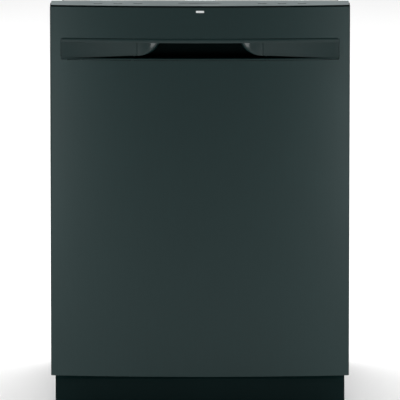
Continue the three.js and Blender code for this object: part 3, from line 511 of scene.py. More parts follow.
def make_outer_panel():
    corner = 3.2 * MM
    rear = panel_high.y
    outer = open_path(bowed_outline(HALF, 0.0, rear, corner))
    inner = open_path(bowed_outline(HALF - SKIN, SKIN, rear, corner - SKIN))
    seam_low = panel_high.z - SEAM
    panel = prism("door_skin", ring_outline(outer, inner), DOOR_BOTTOM, seam_low)
    hole = prism(
        "handle_hole",
        rounded_rect(-HANDLE_HALF, HANDLE_LOW, HANDLE_HALF, HANDLE_TOP, 5 * MM),
        FRONT - 0.01,
        FRONT + 0.03,
        "y",
    )
    combine(panel, hole, "DIFFERENCE")
    hole_half = LENS_HALF + 0.4 * MM
    hole_rise = LENS_RISE + 0.35 * MM
    light_hole = prism(
        "light_hole",
        rounded_rect(-hole_half, LIGHT_Z - hole_rise, hole_half, LIGHT_Z + hole_rise, 1 * MM),
        FRONT - 0.01,
        FRONT + 0.01,
        "y",
    )
    combine(panel, light_hole, "DIFFERENCE")
    bevel(panel, 0.45 * MM, 2, 50)
    hem_plan = bowed_outline(HALF - SKIN, SKIN, HINGE_Y - 12 * MM, corner - SKIN)
    hem = prism("door_hem", hem_plan, DOOR_BOTTOM, DOOR_BOTTOM + SKIN)
    bevel(hem, 0.4 * MM)
    whole = join_pieces("door_front_panel", [panel, hem])
    finish_piece(whole, "door", "slate_steel", ["door_outer_panel"])
    smooth_bow(whole)
    make_seam_shade_strip(corner, rear, seam_low)


def make_seam_shade_strip(corner, rear, seam_low):
    """A black strip between the door's skin and the console, set a little behind both: painted shade that stands
    for the shadow in the gap there.
    """
    setback = 0.7 * MM
    inner = setback + 1.6 * MM
    front = open_path(bowed_outline(HALF - setback, setback, rear, corner - setback))
    behind = open_path(bowed_outline(HALF - inner, inner, rear, corner - inner))
    seam = prism("console_seam_shade", ring_outline(front, behind), seam_low - 1 * MM, panel_high.z - 0.2 * MM)
    # Painted shade: the strip's black darkens the gap between the skin and the console.
    finish_piece(seam, "door", "black_plastic")


def sweep(name, section, stations):
    """Carries a closed section along x. section(x) gives its (y, z) points, the same number each time."""
    bm = bmesh.new()
    loops = [[bm.verts.new((x, y, z)) for y, z in section(x)] for x in stations]
    for first, second in zip(loops, loops[1:]):
        count = len(first)
        for i in range(count):
            j = (i + 1) % count
            bm.faces.new((first[i], first[j], second[j], second[i]))
    bm.faces.new(loops[0])
    bm.faces.new(loops[-1][::-1])
    return from_bmesh(name, bm)


# ---- Pocket handle ----
LIP_LOW = HANDLE_TOP - 9 * MM
SILL_TOP = HANDLE_LOW + 3.3 * MM
POCKET_TOP_HALF = 82 * MM
POCKET_HALF = 126.5 * MM
RAMP = 131 * MM
INSERT_HALF = HANDLE_HALF - 0.6 * MM
RECESS = 30 * MM
FLANK_WIDTH = 44 * MM
ROLL_HEIGHT = 5.5 * MM
ROLL_DEPTH = 9 * MM
STEP_HALF = 0.9 * MM


def wing_share(x):
    """0 at the ends of the insert, where its face is flush, to 1 where the field is deepest."""
    return min(1.0, max(0.0, (INSERT_HALF - 6 * MM - abs(x)) / RAMP))


def field_bottom(x):
    """Height of the field's lower edge: it lifts towards the middle and sweeps up into the pocket."""
    share = wing_share(x)
    low = SILL_TOP + 0.05 * MM + 5.4 * MM * share ** 1.2
    top = LIP_LOW - 1.4 * MM
    if abs(x) >= POCKET_HALF:
        return low
    across = (POCKET_HALF - abs(x)) / (POCKET_HALF - POCKET_TOP_HALF)
    if across >= 1.0:
        return top
    lift = 1.0 - (1.0 - across ** 1.75) ** (1 / 1.75)
    return low + (top - low) * lift


def field_depth(x, z, low):
    """How far the field lies behind the bowed face."""
    share = wing_share(x)
    drop = (LIP_LOW - z) / (LIP_LOW - SILL_TOP)
    inward = POCKET_HALF - abs(x)
    near = min(max(inward, 0.0), FLANK_WIDTH) / FLANK_WIDTH
    depth = 0.9 * MM + share * (1.2 + 4.5 * drop * (1 - near) ** 2) * MM
    if inward > 0:
        above = z - low
        roll = math.exp(-above / ROLL_HEIGHT) * near
        depth += ROLL_DEPTH * roll * roll + ROLL_DEPTH * near ** 2.5
    if abs(inward) < STEP_HALF:
        depth += 0.7 * MM
    return depth


def face_section(x):
    y = front_at(x)
    low = field_bottom(x)
    rows = 16
    front = [(0.5 * MM, HANDLE_TOP - 0.6 * MM), (0.12 * MM, HANDLE_TOP - 0.75 * MM)]
    front += [(0.0, HANDLE_TOP - 1.1 * MM), (0.0, LIP_LOW + 0.5 * MM), (0.25 * MM, LIP_LOW + 0.1 * MM)]
    for i in range(rows + 1):
        # Rows are denser near the lower edge, where the face rolls into the recess.
        share = 1.0 - (1.0 - i / rows) ** 1.5
        z = LIP_LOW - 0.25 * MM + (low - LIP_LOW + 0.25 * MM) * share
        front.append((field_depth(x, z, low), z))
    back = [(depth + 2.0 * MM, z) for depth, z in reversed(front)]
    return [(y + depth, z) for depth, z in front + back]


def insert_stations():
    """Places across the insert, closest together over the step at each side of the pocket."""
    marks = []
    half = INSERT_HALF
    wing_steps = 46
    pocket_steps = 70
    seam = [POCKET_HALF + d * MM for d in (1.2, 0.9, 0.3, -0.3, -0.9, -1.2)]
    marks += [half - (half - POCKET_HALF - 1.6 * MM) * i / wing_steps for i in range(wing_steps + 1)]
    marks += seam
    inner = POCKET_HALF - 1.6 * MM
    marks += [inner - (inner - POCKET_TOP_HALF + 3 * MM) * i / pocket_steps
              for i in range(pocket_steps + 1)]
    marks += [(POCKET_TOP_HALF - 3 * MM) * (1 - i / 12) for i in range(1, 13)]
    marks = sorted(set(round(m, 6) for m in marks))
    return [-m for m in reversed(marks) if m > 0] + marks


def sill_section(x):
    y = front_at(x)
    z0 = HANDLE_LOW + 0.6 * MM
    z1 = SILL_TOP
    front = [(RECESS, z1), (0.6 * MM, z1), (0.15 * MM, z1 - 0.15 * MM), (0.0, z1 - 0.6 * MM)]
    front += [(0.0, z0 + 0.5 * MM), (0.15 * MM, z0 + 0.15 * MM), (0.5 * MM, z0), (RECESS, z0)]
    return [(y + depth, z) for depth, z in front]


def corner_trim():
    return prism(
        "trim",
        rounded_rect(-INSERT_HALF, HANDLE_LOW + 0.6 * MM, INSERT_HALF, HANDLE_TOP - 0.6 * MM, 4.6 * MM),
        FRONT - 0.01,
        FRONT + 0.06,
        "y",
    )


def make_handle():
    face = sweep("handle_face", face_section, insert_stations())
    combine(face, corner_trim(), "INTERSECT")
    finish_piece(face, "door", "handle_plastic", ["pocket_handle"], 40)
    steps = 96
    stations = [INSERT_HALF * (2 * i / steps - 1) for i in range(steps + 1)]
    sill = sweep("handle_sill", sill_section, stations)
    combine(sill, corner_trim(), "INTERSECT")
    finish_piece(sill, "door", "handle_plastic", (), 40)
    make_pocket_cup()


def make_pocket_cup():
    """The black cup behind the insert: floor, back, roof and ends round the fingers' room."""
    low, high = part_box("pocket_handle")
    wall = 2.0 * MM
    back = high.y
    half = POCKET_HALF + 4 * MM
    roof = high.z - 1 * MM

    def section(x):
        front = front_at(x) + 13 * MM
        lip = front_at(x) + 9.4 * MM
        return [
            (lip, LIP_LOW + 1 * MM),
            (lip, roof - wall),
            (back - wall, roof - wall),
            (back - wall, SILL_TOP + 0.2 * MM),
            (front, SILL_TOP + 0.2 * MM),
            (front, low.z + 1 * MM),
            (back, low.z + 1 * MM),
            (back, roof),
            (lip - wall, roof),
            (lip - wall, LIP_LOW + 1 * MM),
        ]

    steps = 24
    stations = [half * (2 * i / steps - 1) for i in range(steps + 1)]
    cup = sweep("pocket_cup", section, stations)
    ends = []
    for side in (-1, 1):
        x0, x1 = sorted((side * half, side * (half + wall)))
        inset = front_at(half) + 6 * MM
        ends.append(box_piece("cup_end", (x0, inset, low.z + 1 * MM), (x1, back, roof)))
    whole = join_pieces("handle_pocket_cup", [cup, *ends])
    finish_piece(whole, "door", "black_plastic", (), 40)
    make_wing_backs()


def make_wing_backs():
    """Dark ribs behind each wing, so the gap under the field shows the moulding and not daylight."""
    for word, side in (("left", -1), ("right", 1)):
        x0, x1 = sorted((side * (POCKET_HALF + 6.5 * MM), side * (INSERT_HALF - 2 * MM)))
        steps = 20

        def section(x):
            y = front_at(x)
            return [
                (y + 10 * MM, SILL_TOP + 0.2 * MM),
                (y + 12 * MM, SILL_TOP + 0.2 * MM),
                (y + 12 * MM, HANDLE_TOP - 1 * MM),
                (y + 10 * MM, HANDLE_TOP - 1 * MM),
            ]

        stations = [x0 + (x1 - x0) * i / steps for i in range(steps + 1)]
        rib = sweep("handle_back_" + word, section, stations)
        finish_piece(rib, "door", "black_plastic", (), 40)


# ---- Console ----
def make_console():
    low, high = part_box("control_console")
    inset = 2.6 * MM
    half = high.x - 0.4 * MM
    plan = bowed_outline(half, inset, LINER_BACK, 4 * MM)
    body = prism("console_body", plan, low.z, high.z)
    inner = bowed_outline(half - 3 * MM, inset + 3 * MM, LINER_BACK - 3 * MM, 2 * MM)
    combine(body, prism("hollow", inner, low.z - 0.01, high.z - 3 * MM), "DIFFERENCE")
    for name in button_names():
        b0, b1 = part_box(name)
        gap = 0.35 * MM
        well = prism(
            "well",
            rounded_rect(b0.x - gap, b0.y - gap, b1.x + gap, b1.y + gap, 1.6 * MM),
            high.z - 0.01,
            high.z + 0.01,
        )
        combine(body, well, "DIFFERENCE")
    w0, w1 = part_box("display_window")
    pocket = prism("pocket", rounded_rect(w0.x, w0.y, w1.x, w1.y, 2.4 * MM), w0.z, high.z + 0.01)
    combine(body, pocket, "DIFFERENCE")
    slot_low = (latch_low.x - 0.6 * MM, LINER_BACK - 0.01, latch_low.z - 5 * MM)
    slot_high = (latch_high.x + 0.6 * MM, LINER_BACK + 0.01, latch_high.z + 1.2 * MM)
    slot = box_piece("slot", slot_low, slot_high)
    combine(body, slot, "DIFFERENCE")
    bevel(body, 0.7 * MM, 3, 50)
    finish_piece(body, "door", "console_finish", ["control_console"])
    window = prism(
        "display_glass",
        rounded_rect(w0.x + 0.3 * MM, w0.y + 0.3 * MM, w1.x - 0.3 * MM, w1.y - 0.3 * MM, 2.2 * MM),
        w0.z + 0.2 * MM,
        w1.z,
    )
    bevel(window, 0.3 * MM)
    finish_piece(window, "door", "dark_glass", ["display_window"])
    for name in button_names():
        make_button(name)


def button_names():
    return sorted(name for name in frame["nodes"] if name.startswith("button_"))


def make_button(name):
    b0, b1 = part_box(name)
    cap = prism(name + "_cap", rounded_rect(b0.x, b0.y, b1.x, b1.y, 1.4 * MM), b0.z, b1.z - 0.05 * MM)
    bevel(cap, 0.4 * MM, 2)
    centre = (b0 + b1) / 2
    foot, radius = b1.z - 0.4 * MM, 1.1 * MM
    profile = [(0, foot), (radius, foot), (radius, b1.z), (0, b1.z)]
    mark = lathe(name + "_mark", profile, (centre.x, centre.y, 0), "z", 20)
    finish_piece(cap, NODE_BODY[name], "console_finish", [name])
    finish_piece(mark, NODE_BODY[name], "grey_plastic")


def make_status_light():
    lens = prism(
        "status_lens",
        rounded_rect(-LENS_HALF, LIGHT_Z - LENS_RISE, LENS_HALF, LIGHT_Z + LENS_RISE, 0.8 * MM),
        FRONT + 0.25 * MM,
        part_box("status_light")[1].y,
        "y",
    )
    bevel(lens, 0.25 * MM)
    finish_piece(lens, "door", "light_window", ["status_light"])


make_outer_panel()
make_handle()
make_console()
make_status_light()


# ---- Tub ----
tub_low, tub_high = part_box("tub")
gasket_low, gasket_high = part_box("tub_gasket")
sump_low, sump_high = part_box("sump")
rail_low, rail_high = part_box("rack_rail_right")
TUB_WALL = 2.5 * MM
TUB_IN = rail_high.x + 0.3 * MM
TUB_OUT = TUB_IN + TUB_WALL
TUB_FLOOR = tub_low.z + 5 * MM
DECK = TUB_FLOOR + TUB_WALL
CEILING = gasket_high.z - 12 * MM
TUB_TOP = CEILING + TUB_WALL
FLANGE_Y = tub_low.y
SUMP_AT = (sump_low + sump_high) / 2
FLOAT_AT = sum(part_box("float"), Vector()) / 2
heater_low, heater_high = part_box("heating_element")
HEATER_RING = (heater_high.x - heater_low.x) / 2 - 4 * MM
HEATER_FOOT = 24 * MM
HEATER_FEET_Y = SUMP_AT.y + math.sqrt(HEATER_RING ** 2 - HEATER_FOOT ** 2)
SIDE_BEADS = [z * MM for z in (250, 330, 410, 620, 700)]


def drill(piece, places, radius, low, high, axis="z", steps=32):
    """Round holes through a piece, each on a line through its place."""
    for place in places:
        profile = [(0, low), (radius, low), (radius, high), (0, high)]
        combine(piece, lathe("drill", profile, place, axis, steps), "DIFFERENCE")
    return piece


def make_tub():
    back = tub_high.y
    outer = rounded_rect(-TUB_OUT, TUB_FLOOR, TUB_OUT, CEILING + TUB_WALL, 16 * MM, 8)
    inner = rounded_rect(-TUB_IN, DECK, TUB_IN, CEILING, 13.5 * MM, 8)
    rim = rounded_rect(tub_low.x, tub_low.z, tub_high.x, tub_high.z, 9 * MM)
    body = prism("tub_wall", outer, FLANGE_Y + 1 * MM, back, "y")
    combine(body, prism("flange", rim, FLANGE_Y, FLANGE_Y + 4 * MM, "y"), "UNION")
    combine(body, prism("room", inner, FLANGE_Y - 0.01, back - TUB_WALL, "y"), "DIFFERENCE")
    for side in (-1, 1):
        x0, x1 = sorted((side * (TUB_OUT - 40 * MM), side * (tub_high.x + 0.02)))
        notch = box_piece("notch", (x0, FLANGE_Y - 0.01, tub_low.z - 0.01),
                          (x1, FLANGE_Y + 9 * MM, TUB_FLOOR))
        combine(body, notch, "DIFFERENCE")
    drill(body, [(0, SUMP_AT.y, 0)], 75 * MM, TUB_FLOOR - 0.01, DECK + 0.01, steps=64)
    drill(body, [(FLOAT_AT.x, FLOAT_AT.y, 0)], 8 * MM, TUB_FLOOR - 0.01, DECK + 0.01)
    drill(body, [(x, HEATER_FEET_Y, 0) for x in (-HEATER_FOOT, HEATER_FOOT)], 7 * MM, TUB_FLOOR - 0.01,
          DECK + 0.01)
    bevel(body, 0.8 * MM, 2, 60)
    beads = [body]
    half = 5 * MM
    proud = 1.1 * MM
    for z in SIDE_BEADS:
        for side in (-1, 1):
            face = side * TUB_IN
            x0, x1 = sorted((face - side * proud, face + side * 1 * MM))
            outline = rounded_rect(-170 * MM, z - half, 240 * MM, z + half, half)
            beads.append(bevel(prism("bead", outline, x0, x1, "x"), 1 * MM, 3))
        for side in (-1, 1):
            x0, x1 = sorted((side * 45 * MM, side * 235 * MM))
            outline = rounded_rect(x0, z - half, x1, z + half, half)
            bead = prism("bead", outline, back - TUB_WALL - proud, back - 1 * MM, "y")
            beads.append(bevel(bead, 1 * MM, 3))
    finish_piece(join_pieces("tub_shell", beads), "cabinet", "stainless", ["tub"])


def make_heater():
    z = heater_high.z - 4 * MM
    gap = math.degrees(math.asin(HEATER_FOOT / HEATER_RING))
    ring = [(x, y, z) for x, y in arc((0, SUMP_AT.y), HEATER_RING, 90 + gap, 450 - gap, 120)]
    down = heater_low.z + 1 * MM
    bend = 6 * MM
    first = [(ring[0][0], ring[0][1], down), (ring[0][0], ring[0][1], z - bend)]
    last = [(ring[-1][0], ring[-1][1], z - bend), (ring[-1][0], ring[-1][1], down)]
    tube = wires("heater_tube", [(first + ring[1:-1] + last, False)], 3.9 * MM, 4)
    clips = []
    for angle in (200, 340):
        x, y = arc((0, SUMP_AT.y), HEATER_RING, angle, angle, 1)[0]
        clips.append(box_piece("clip", (x - 5 * MM, y - 6 * MM, DECK),
                               (x + 5 * MM, y + 6 * MM, z - 3 * MM)))
    finish_piece(tube, "cabinet", "stainless", ["heating_element"])
    whole = join_pieces("heater_clips", [bevel(clip, 0.6 * MM) for clip in clips])
    finish_piece(whole, "cabinet", "stainless")


def hoop_path(half, top, bottom, radius, steps=8):
    """A path up one side of the tub's mouth, round its top corners and down the other side."""
    left = arc((-half + radius, top - radius), radius, 180, 90, steps)
    right = arc((half - radius, top - radius), radius, 90, 0, steps)
    return [(-half, bottom), *left, *right, (half, bottom)]


def make_gasket():
    low, high = gasket_low, gasket_high
    outer = hoop_path(high.x, high.z, low.z, 20 * MM)
    inner = hoop_path(high.x - 12 * MM, high.z - 12 * MM, low.z, 10 * MM)
    strip = prism("gasket_strip", (outer + inner[::-1])[::-1], high.y - 2.2 * MM, high.y, "y")
    finish_piece(bevel(strip, 0.6 * MM), "cabinet", "rubber", ["tub_gasket"])
    for word, inset, size in (("bulb", 6, 2.5), ("lip", 10.6, 1.2)):
        corner = (20 - inset * 0.8) * MM
        path = hoop_path(high.x - inset * MM, high.z - inset * MM, low.z + 2 * MM, corner, 12)
        y = low.y + (size + 0.1) * MM
        bulb = wires("gasket_" + word, [([(x, y, z) for x, z in path], False)], size * MM, 4)
        finish_piece(bulb, "cabinet", "rubber")


# ---- Insulation ----
QUILT_PITCH = 94 * MM
QUILT_SINK = 5 * MM
EDGE_CELLS = 3
REAR_PAD = 9.5 * MM


def quilt(across, along):
    """How far the felt sinks at a place: 0 on a pillow, deeper on the stitched lines."""
    a = abs(math.sin(math.pi * across / QUILT_PITCH))
    b = abs(math.sin(math.pi * along / QUILT_PITCH))
    return QUILT_SINK * (1.0 - math.sqrt(a * b))


def sink_at(cells_in, across, along):
    """The quilting's sink, or a slope down to the stitched hem within a few cells of an edge."""
    share = cells_in / EDGE_CELLS
    return quilt(across, along) if share >= 1 else QUILT_SINK * (1 - share)


def felt_pad(name, outer_at, inner_at, columns, rows):
    """A closed pad between two surfaces over the same grid."""
    bm = bmesh.new()

    def grid(at):
        return [[bm.verts.new(at(i, j)) for j in range(rows + 1)] for i in range(columns + 1)]

    outer, inner = grid(outer_at), grid(inner_at)
    for i in range(columns):
        for j in range(rows):
            bm.faces.new((outer[i][j], outer[i + 1][j], outer[i + 1][j + 1], outer[i][j + 1]))
            bm.faces.new((inner[i][j], inner[i][j + 1], inner[i + 1][j + 1], inner[i + 1][j]))
    edge = [(i, 0) for i in range(columns)] + [(columns, j) for j in range(rows)]
    edge += [(i, rows) for i in range(columns, 0, -1)] + [(0, j) for j in range(rows, 0, -1)]
    for (i, j), (k, m) in zip(edge, edge[1:] + edge[:1]):
        bm.faces.new((outer[i][j], inner[i][j], inner[k][m], outer[k][m]))
    return from_bmesh(name, bm)


def wrap_line(high, floor):
    """The blanket's outer line in front view: up one side, over the top and down the other side."""
    turns, side_steps, top_steps = 10, 60, 48
    path = hoop_path(high.x, high.z, floor, 18 * MM, turns)
    left, right = path[1:turns + 2], path[turns + 2:-1]
    rise = [(path[0][0], floor + (left[0][1] - floor) * i / side_steps) for i in range(side_steps)]
    start, width = left[-1][0], right[0][0] - left[-1][0]
    top = [(start + width * i / top_steps, high.z) for i in range(1, top_steps)]
    return rise + left + top + right + [(-x, z) for x, z in reversed(rise)]


def make_wrap(low, high, floor):
    thick = high.x - TUB_OUT - 1.2 * MM
    line = wrap_line(high, floor)
    travel = [0.0]
    for a, b in zip(line, line[1:]):
        travel.append(travel[-1] + math.dist(a, b))
    normals = []
    for i in range(len(line)):
        a, b = line[max(0, i - 1)], line[min(len(line) - 1, i + 1)]
        step = Vector((b[0] - a[0], b[1] - a[1])).normalized()
        normals.append((step.y, -step.x))
    rows = 64
    y0, y1 = low.y + 0.5 * MM, high.y - 1 * MM

    def place(i, j, depth):
        y = y0 + (y1 - y0) * j / rows
        move = depth if depth else min(sink_at(min(j, rows - j), travel[i], y), thick * 0.5)
        return (line[i][0] + normals[i][0] * move, y, line[i][1] + normals[i][1] * move)

    def outer(i, j):
        return place(i, j, 0.0)

    def inner(i, j):
        return place(i, j, thick)

    wrap = felt_pad("insulation_wrap", outer, inner, len(line) - 1, rows)
    gap = 4 * MM
    for name in ("door_strike", "counter_bracket_left", "counter_bracket_right"):
        a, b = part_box(name)
        room_low = (a.x - gap, low.y - 0.01, a.z - gap)
        room = box_piece("room", room_low, (b.x + gap, b.y + 2 * gap, high.z + 0.01))
        combine(wrap, room, "DIFFERENCE")
    finish_piece(wrap, "cabinet", "felt", ["insulation_blanket"], 60)


def make_rear_pad(high, floor):
    half = TUB_OUT + 1 * MM
    columns, lines = 60, 72

    def rear(i, j, depth):
        x = half * (2 * i / columns - 1)
        z = floor + (TUB_TOP - floor) * j / lines
        sink = sink_at(min(i, columns - i, j, lines - j), x + half, z - floor)
        return (x, high.y - (depth or sink), z)

    def outer(i, j):
        return rear(i, j, 0.0)

    def inner(i, j):
        return rear(i, j, REAR_PAD)

    pad = felt_pad("insulation_rear", outer, inner, columns, lines)
    finish_piece(pad, "cabinet", "felt", (), 60)


def make_blanket():
    low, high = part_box("insulation_blanket")
    floor = low.z + 2 * MM
    make_wrap(low, high, floor)
    make_rear_pad(high, floor)


# ---- Base, legs, pumps and springs ----
LEG_NAMES = sorted(name for name in frame["nodes"] if name.startswith("levelling_leg"))


def make_base():
    low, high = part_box("base_frame")
    rib = 1.5 * MM
    wall = 4 * MM
    outline = rounded_rect(low.x + rib, low.y + rib, high.x - rib, high.y - rib, 6 * MM)
    room = rounded_rect(low.x + wall, low.y + wall, high.x - wall, high.y - wall, 4 * MM)
    tray = prism("tray", outline, low.z, high.z)
    combine(tray, prism("room", room, low.z + wall, high.z + 0.01), "DIFFERENCE")
    for name in LEG_NAMES:
        place = sum(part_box(name), Vector()) / 2
        drill(tray, [(place.x, place.y, 0)], 6 * MM, low.z - 0.01, low.z + 0.01)
    bevel(tray, 0.8 * MM, 2, 60)
    parts = [tray]
    z0, z1 = low.z + 6 * MM, high.z - 6 * MM
    front_ribs, side_ribs = 13, 11
    for i in range(front_ribs):
        x = low.x + (high.x - low.x) * (i + 0.5) / front_ribs
        for y0, y1 in ((low.y, low.y + wall), (high.y - wall, high.y)):
            parts.append(box_piece("rib", (x - rib, y0, z0), (x + rib, y1, z1)))
    for i in range(side_ribs):
        y = low.y + (high.y - low.y) * (i + 0.5) / side_ribs
        for x0, x1 in ((low.x, low.x + wall), (high.x - wall, high.x)):
            parts.append(box_piece("rib", (x0, y - rib, z0), (x1, y + rib, z1)))
    finish_piece(join_pieces("base_tray", parts), "cabinet", "black_plastic", ["base_frame"])


def make_leg(name):
    low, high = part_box(name)
    place = ((low.x + high.x) / 2, (low.y + high.y) / 2, 0)
    pad = 20 * MM
    profile = [(0, 0), (pad - 1.2 * MM, 0), (pad, 1.2 * MM), (pad, 4 * MM), (pad - 2 * MM, 5.5 * MM),
               (9 * MM, 7.2 * MM), (7 * MM, 8 * MM), (4.6 * MM, 9 * MM)]
    turns = 36
    start, pitch = 9.5 * MM, 1.5 * MM
    for i in range(turns):
        profile += [(5 * MM, start + pitch * (i + 0.25)), (4.3 * MM, start + pitch * (i + 0.75))]
    profile += [(3.6 * MM, high.z), (0, high.z)]
    stem = lathe(name + "_stem", profile, place, "z", 28)
    nut = lathe("nut", [(0, 20.5 * MM), (10 * MM, 20.5 * MM), (10.8 * MM, 21.5 * MM), (10.8 * MM, 28 * MM),
                        (10 * MM, 29 * MM), (0, 29 * MM)], place, "z", 6)
    finish_piece(join_pieces(name + "_foot", [stem, nut]), NODE_BODY[name], "grey_plastic", [name])


def make_pump(name, side, volute, motor, width, outer, inner):
    """A pump on its side: a ribbed volute beside the sump, a finned motor behind it, and a foot."""
    low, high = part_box(name)
    z = high.z - volute
    length = high.x - low.x
    start = min(abs(low.x), abs(high.x))
    r, w = volute, width
    profile = [(0, 0), (r - 3 * MM, 0), (r, 3 * MM), (r, w * 0.42), (r - 2 * MM, w * 0.45),
               (r - 2 * MM, w * 0.55),
               (r, w * 0.58), (r, w - 3 * MM), (r - 3 * MM, w), (motor - 3 * MM, w + 0.5 * MM)]
    fins = 9
    pitch = (length - w - 12 * MM) / fins
    for i in range(fins):
        x = w + 4 * MM + pitch * i
        profile += [(motor, x), (motor, x + pitch * 0.6), (motor - 2.5 * MM, x + pitch * 0.65),
                    (motor - 2.5 * MM, x + pitch * 0.95)]
    profile += [(motor - 2 * MM, length - 6 * MM), (motor - 8 * MM, length), (9 * MM, length),
                (8 * MM, length - 2 * MM), (0, length - 2 * MM)]
    body = lathe("body", [(a, side * (start + b)) for a, b in profile], (0, SUMP_AT.y, z), "x", 40)
    x0, x1 = sorted((side * (start + outer), side * (start + inner)))
    foot = box_piece("foot", (x0, SUMP_AT.y - 9 * MM, low.z), (x1, SUMP_AT.y + 9 * MM, z - motor * 0.8))
    finish_piece(join_pieces(name + "_body", [body, bevel(foot, 1 * MM)]), "cabinet", "black_plastic",
                 [name])


def make_springs():
    for word in ("left", "right"):
        low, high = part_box("door_spring_" + word)
        x, z = (low.x + high.x) / 2, (low.z + high.z) / 2
        wire = 1.1 * MM
        radius = 7 * MM - wire
        turns, steps = 56, 18
        hook = 16 * MM
        start, end = low.y + hook, high.y - hook
        coil = []
        for i in range(turns * steps + 1):
            angle = 2 * math.pi * i / steps
            y = start + (end - start) * i / (turns * steps)
            coil.append((x + radius * math.cos(angle), y, z + radius * math.sin(angle)))
        eye = 5 * MM
        reach = eye + wire
        front, rear = [], []
        for k in range(10):
            angle = math.pi * (0.15 + 0.2 * k)
            along, up = eye * math.cos(angle), eye * math.sin(angle)
            front.append((x, low.y + reach + along, z + up))
            rear.append((x, high.y - reach - along, z - up))
        run = front[::-1] + [(x, start - 3 * MM, z)] + coil + [(x, end + 3 * MM, z)] + rear
        spring = wires("door_spring_coil_" + word, [(run, False)], wire, 2)
        finish_piece(spring, "cabinet", "galvanised", ["door_spring_" + word])


SOFT_EDGES = {
    "toe_kick": 0.4, "inlet_valve": 1.0, "junction_box": 1.0, "door_strike": 0.5,
    "counter_bracket_left": 0.5, "counter_bracket_right": 0.5,
    "hinge_bracket_left": 0.6, "hinge_bracket_right": 0.6, "hinge_arm_left": 0.5, "hinge_arm_right": 0.5,
    "rack_rail_left": 0.5, "rack_rail_right": 0.5, "latch_hook": 0.6, "control_board": 0.3,
    "filter_plate": 0.4, "door_inner_liner": 0.5,
}


def soften_cad_nodes():
    """Small rounded edges on the sheet and moulded CAD solids that show as they are."""
    for name, width in SOFT_EDGES.items():
        bevel(frame["nodes"][name], width * MM, 2, 50)
        shade_cad(frame["nodes"][name])


def shade_cad(piece):
    made = piece.modifiers.new("normals", "WEIGHTED_NORMAL")
    made.keep_sharp = True


make_tub()
make_heater()
make_gasket()
make_blanket()
make_base()
for leg_name in LEG_NAMES:
    make_leg(leg_name)
make_pump("circulation_pump", -1, 36 * MM, 30 * MM, 40 * MM, 110 * MM, 80 * MM)
make_pump("drain_pump", 1, 28 * MM, 22 * MM, 30 * MM, 66 * MM, 50 * MM)
make_springs()
soften_cad_nodes()


# ---- Racks ----
def basket_runs(low, high, wire, pitch):
    """Round wires of a basket, both ways: down one side, along the floor and up the other side."""
    x0, y0, z0 = (value + wire for value in low)
    x1, y1, z1 = (value - wire for value in high)
    corner = 9 * MM
    runs = []

    def bent(a, b, floor):
        path = [(a, z1)]
        for k in range(6):
            turn = math.pi / 2 * (1 - k / 5)
            path.append((a + corner * (1 - math.sin(turn)), floor + corner * (1 - math.cos(turn))))
        return path + [(a + b - u, w) for u, w in reversed(path)]

    columns = max(2, round((x1 - x0) / pitch))
    for i in range(columns + 1):
        x = x0 + corner + (x1 - x0 - 2 * corner) * i / columns
        runs.append(([(x, y, z) for y, z in bent(y0, y1, z0)], False))
    rows = max(2, round((y1 - y0) / pitch))
    for i in range(rows + 1):
        y = y0 + corner + (y1 - y0 - 2 * corner) * i / rows
        runs.append(([(x, y, z) for x, z in bent(x0, x1, z0 + 2 * wire)], False))
    return runs


def ring(low, high, z, inset, radius):
    plan = rounded_rect(low.x + inset, low.y + inset, high.x - inset, high.y - inset, radius)
    return ([(x, y, z) for x, y in plan], True)


def make_lower_rack():
    node_low, node_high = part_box("lower_rack")
    wheel_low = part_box("rack_wheel_rear_right")[0]
    half = node_high.x - 24 * MM
    low = Vector((-half, node_low.y, wheel_low.z + 51.5 * MM))
    high = Vector((half, node_high.y, node_high.z))
    fine = wires("lower_rack_wires", basket_runs(low, high, 2 * MM, 26 * MM), 1.9 * MM, 2)
    finish_piece(fine, "lower_rack_body", "rack_coat", ["lower_rack"])
    rim = high.z - 2.6 * MM
    rings = [ring(low, high, rim, 2.7 * MM, 14 * MM), ring(low, high, low.z + 62 * MM, 2.2 * MM, 14 * MM)]
    rings.append(ring(low, high, low.z + 130 * MM, 2.2 * MM, 14 * MM))
    finish_piece(wires("lower_rack_rim", rings, 2.5 * MM, 3), "lower_rack_body", "rack_coat")
    parts = []
    for end in ("front", "rear"):
        for side in (-1, 1):
            a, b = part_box("rack_wheel_" + end + "_" + ("left" if side < 0 else "right"))
            y, z = (a.y + b.y) / 2, (a.z + b.z) / 2
            plate = prism("plate", rounded_rect(y - 8 * MM, z - 8 * MM, y + 8 * MM, low.z + 5 * MM, 4 * MM),
                          *sorted((side * (half - 5 * MM), side * (half - 2 * MM))), axis="x")
            parts.append(bevel(plate, 0.5 * MM))
            end_x = max(abs(a.x), abs(b.x)) - 2.7 * MM
            start, r = half - 4 * MM, 2.9 * MM
            profile = [(0, start), (r, start), (r, end_x - 0.5 * MM), (r - 0.5 * MM, end_x), (0, end_x)]
            parts.append(lathe("axle", [(u, side * v) for u, v in profile], (0, y, z), "x", 20))
    finish_piece(join_pieces("lower_rack_hangers", parts), "lower_rack_body", "grey_plastic")


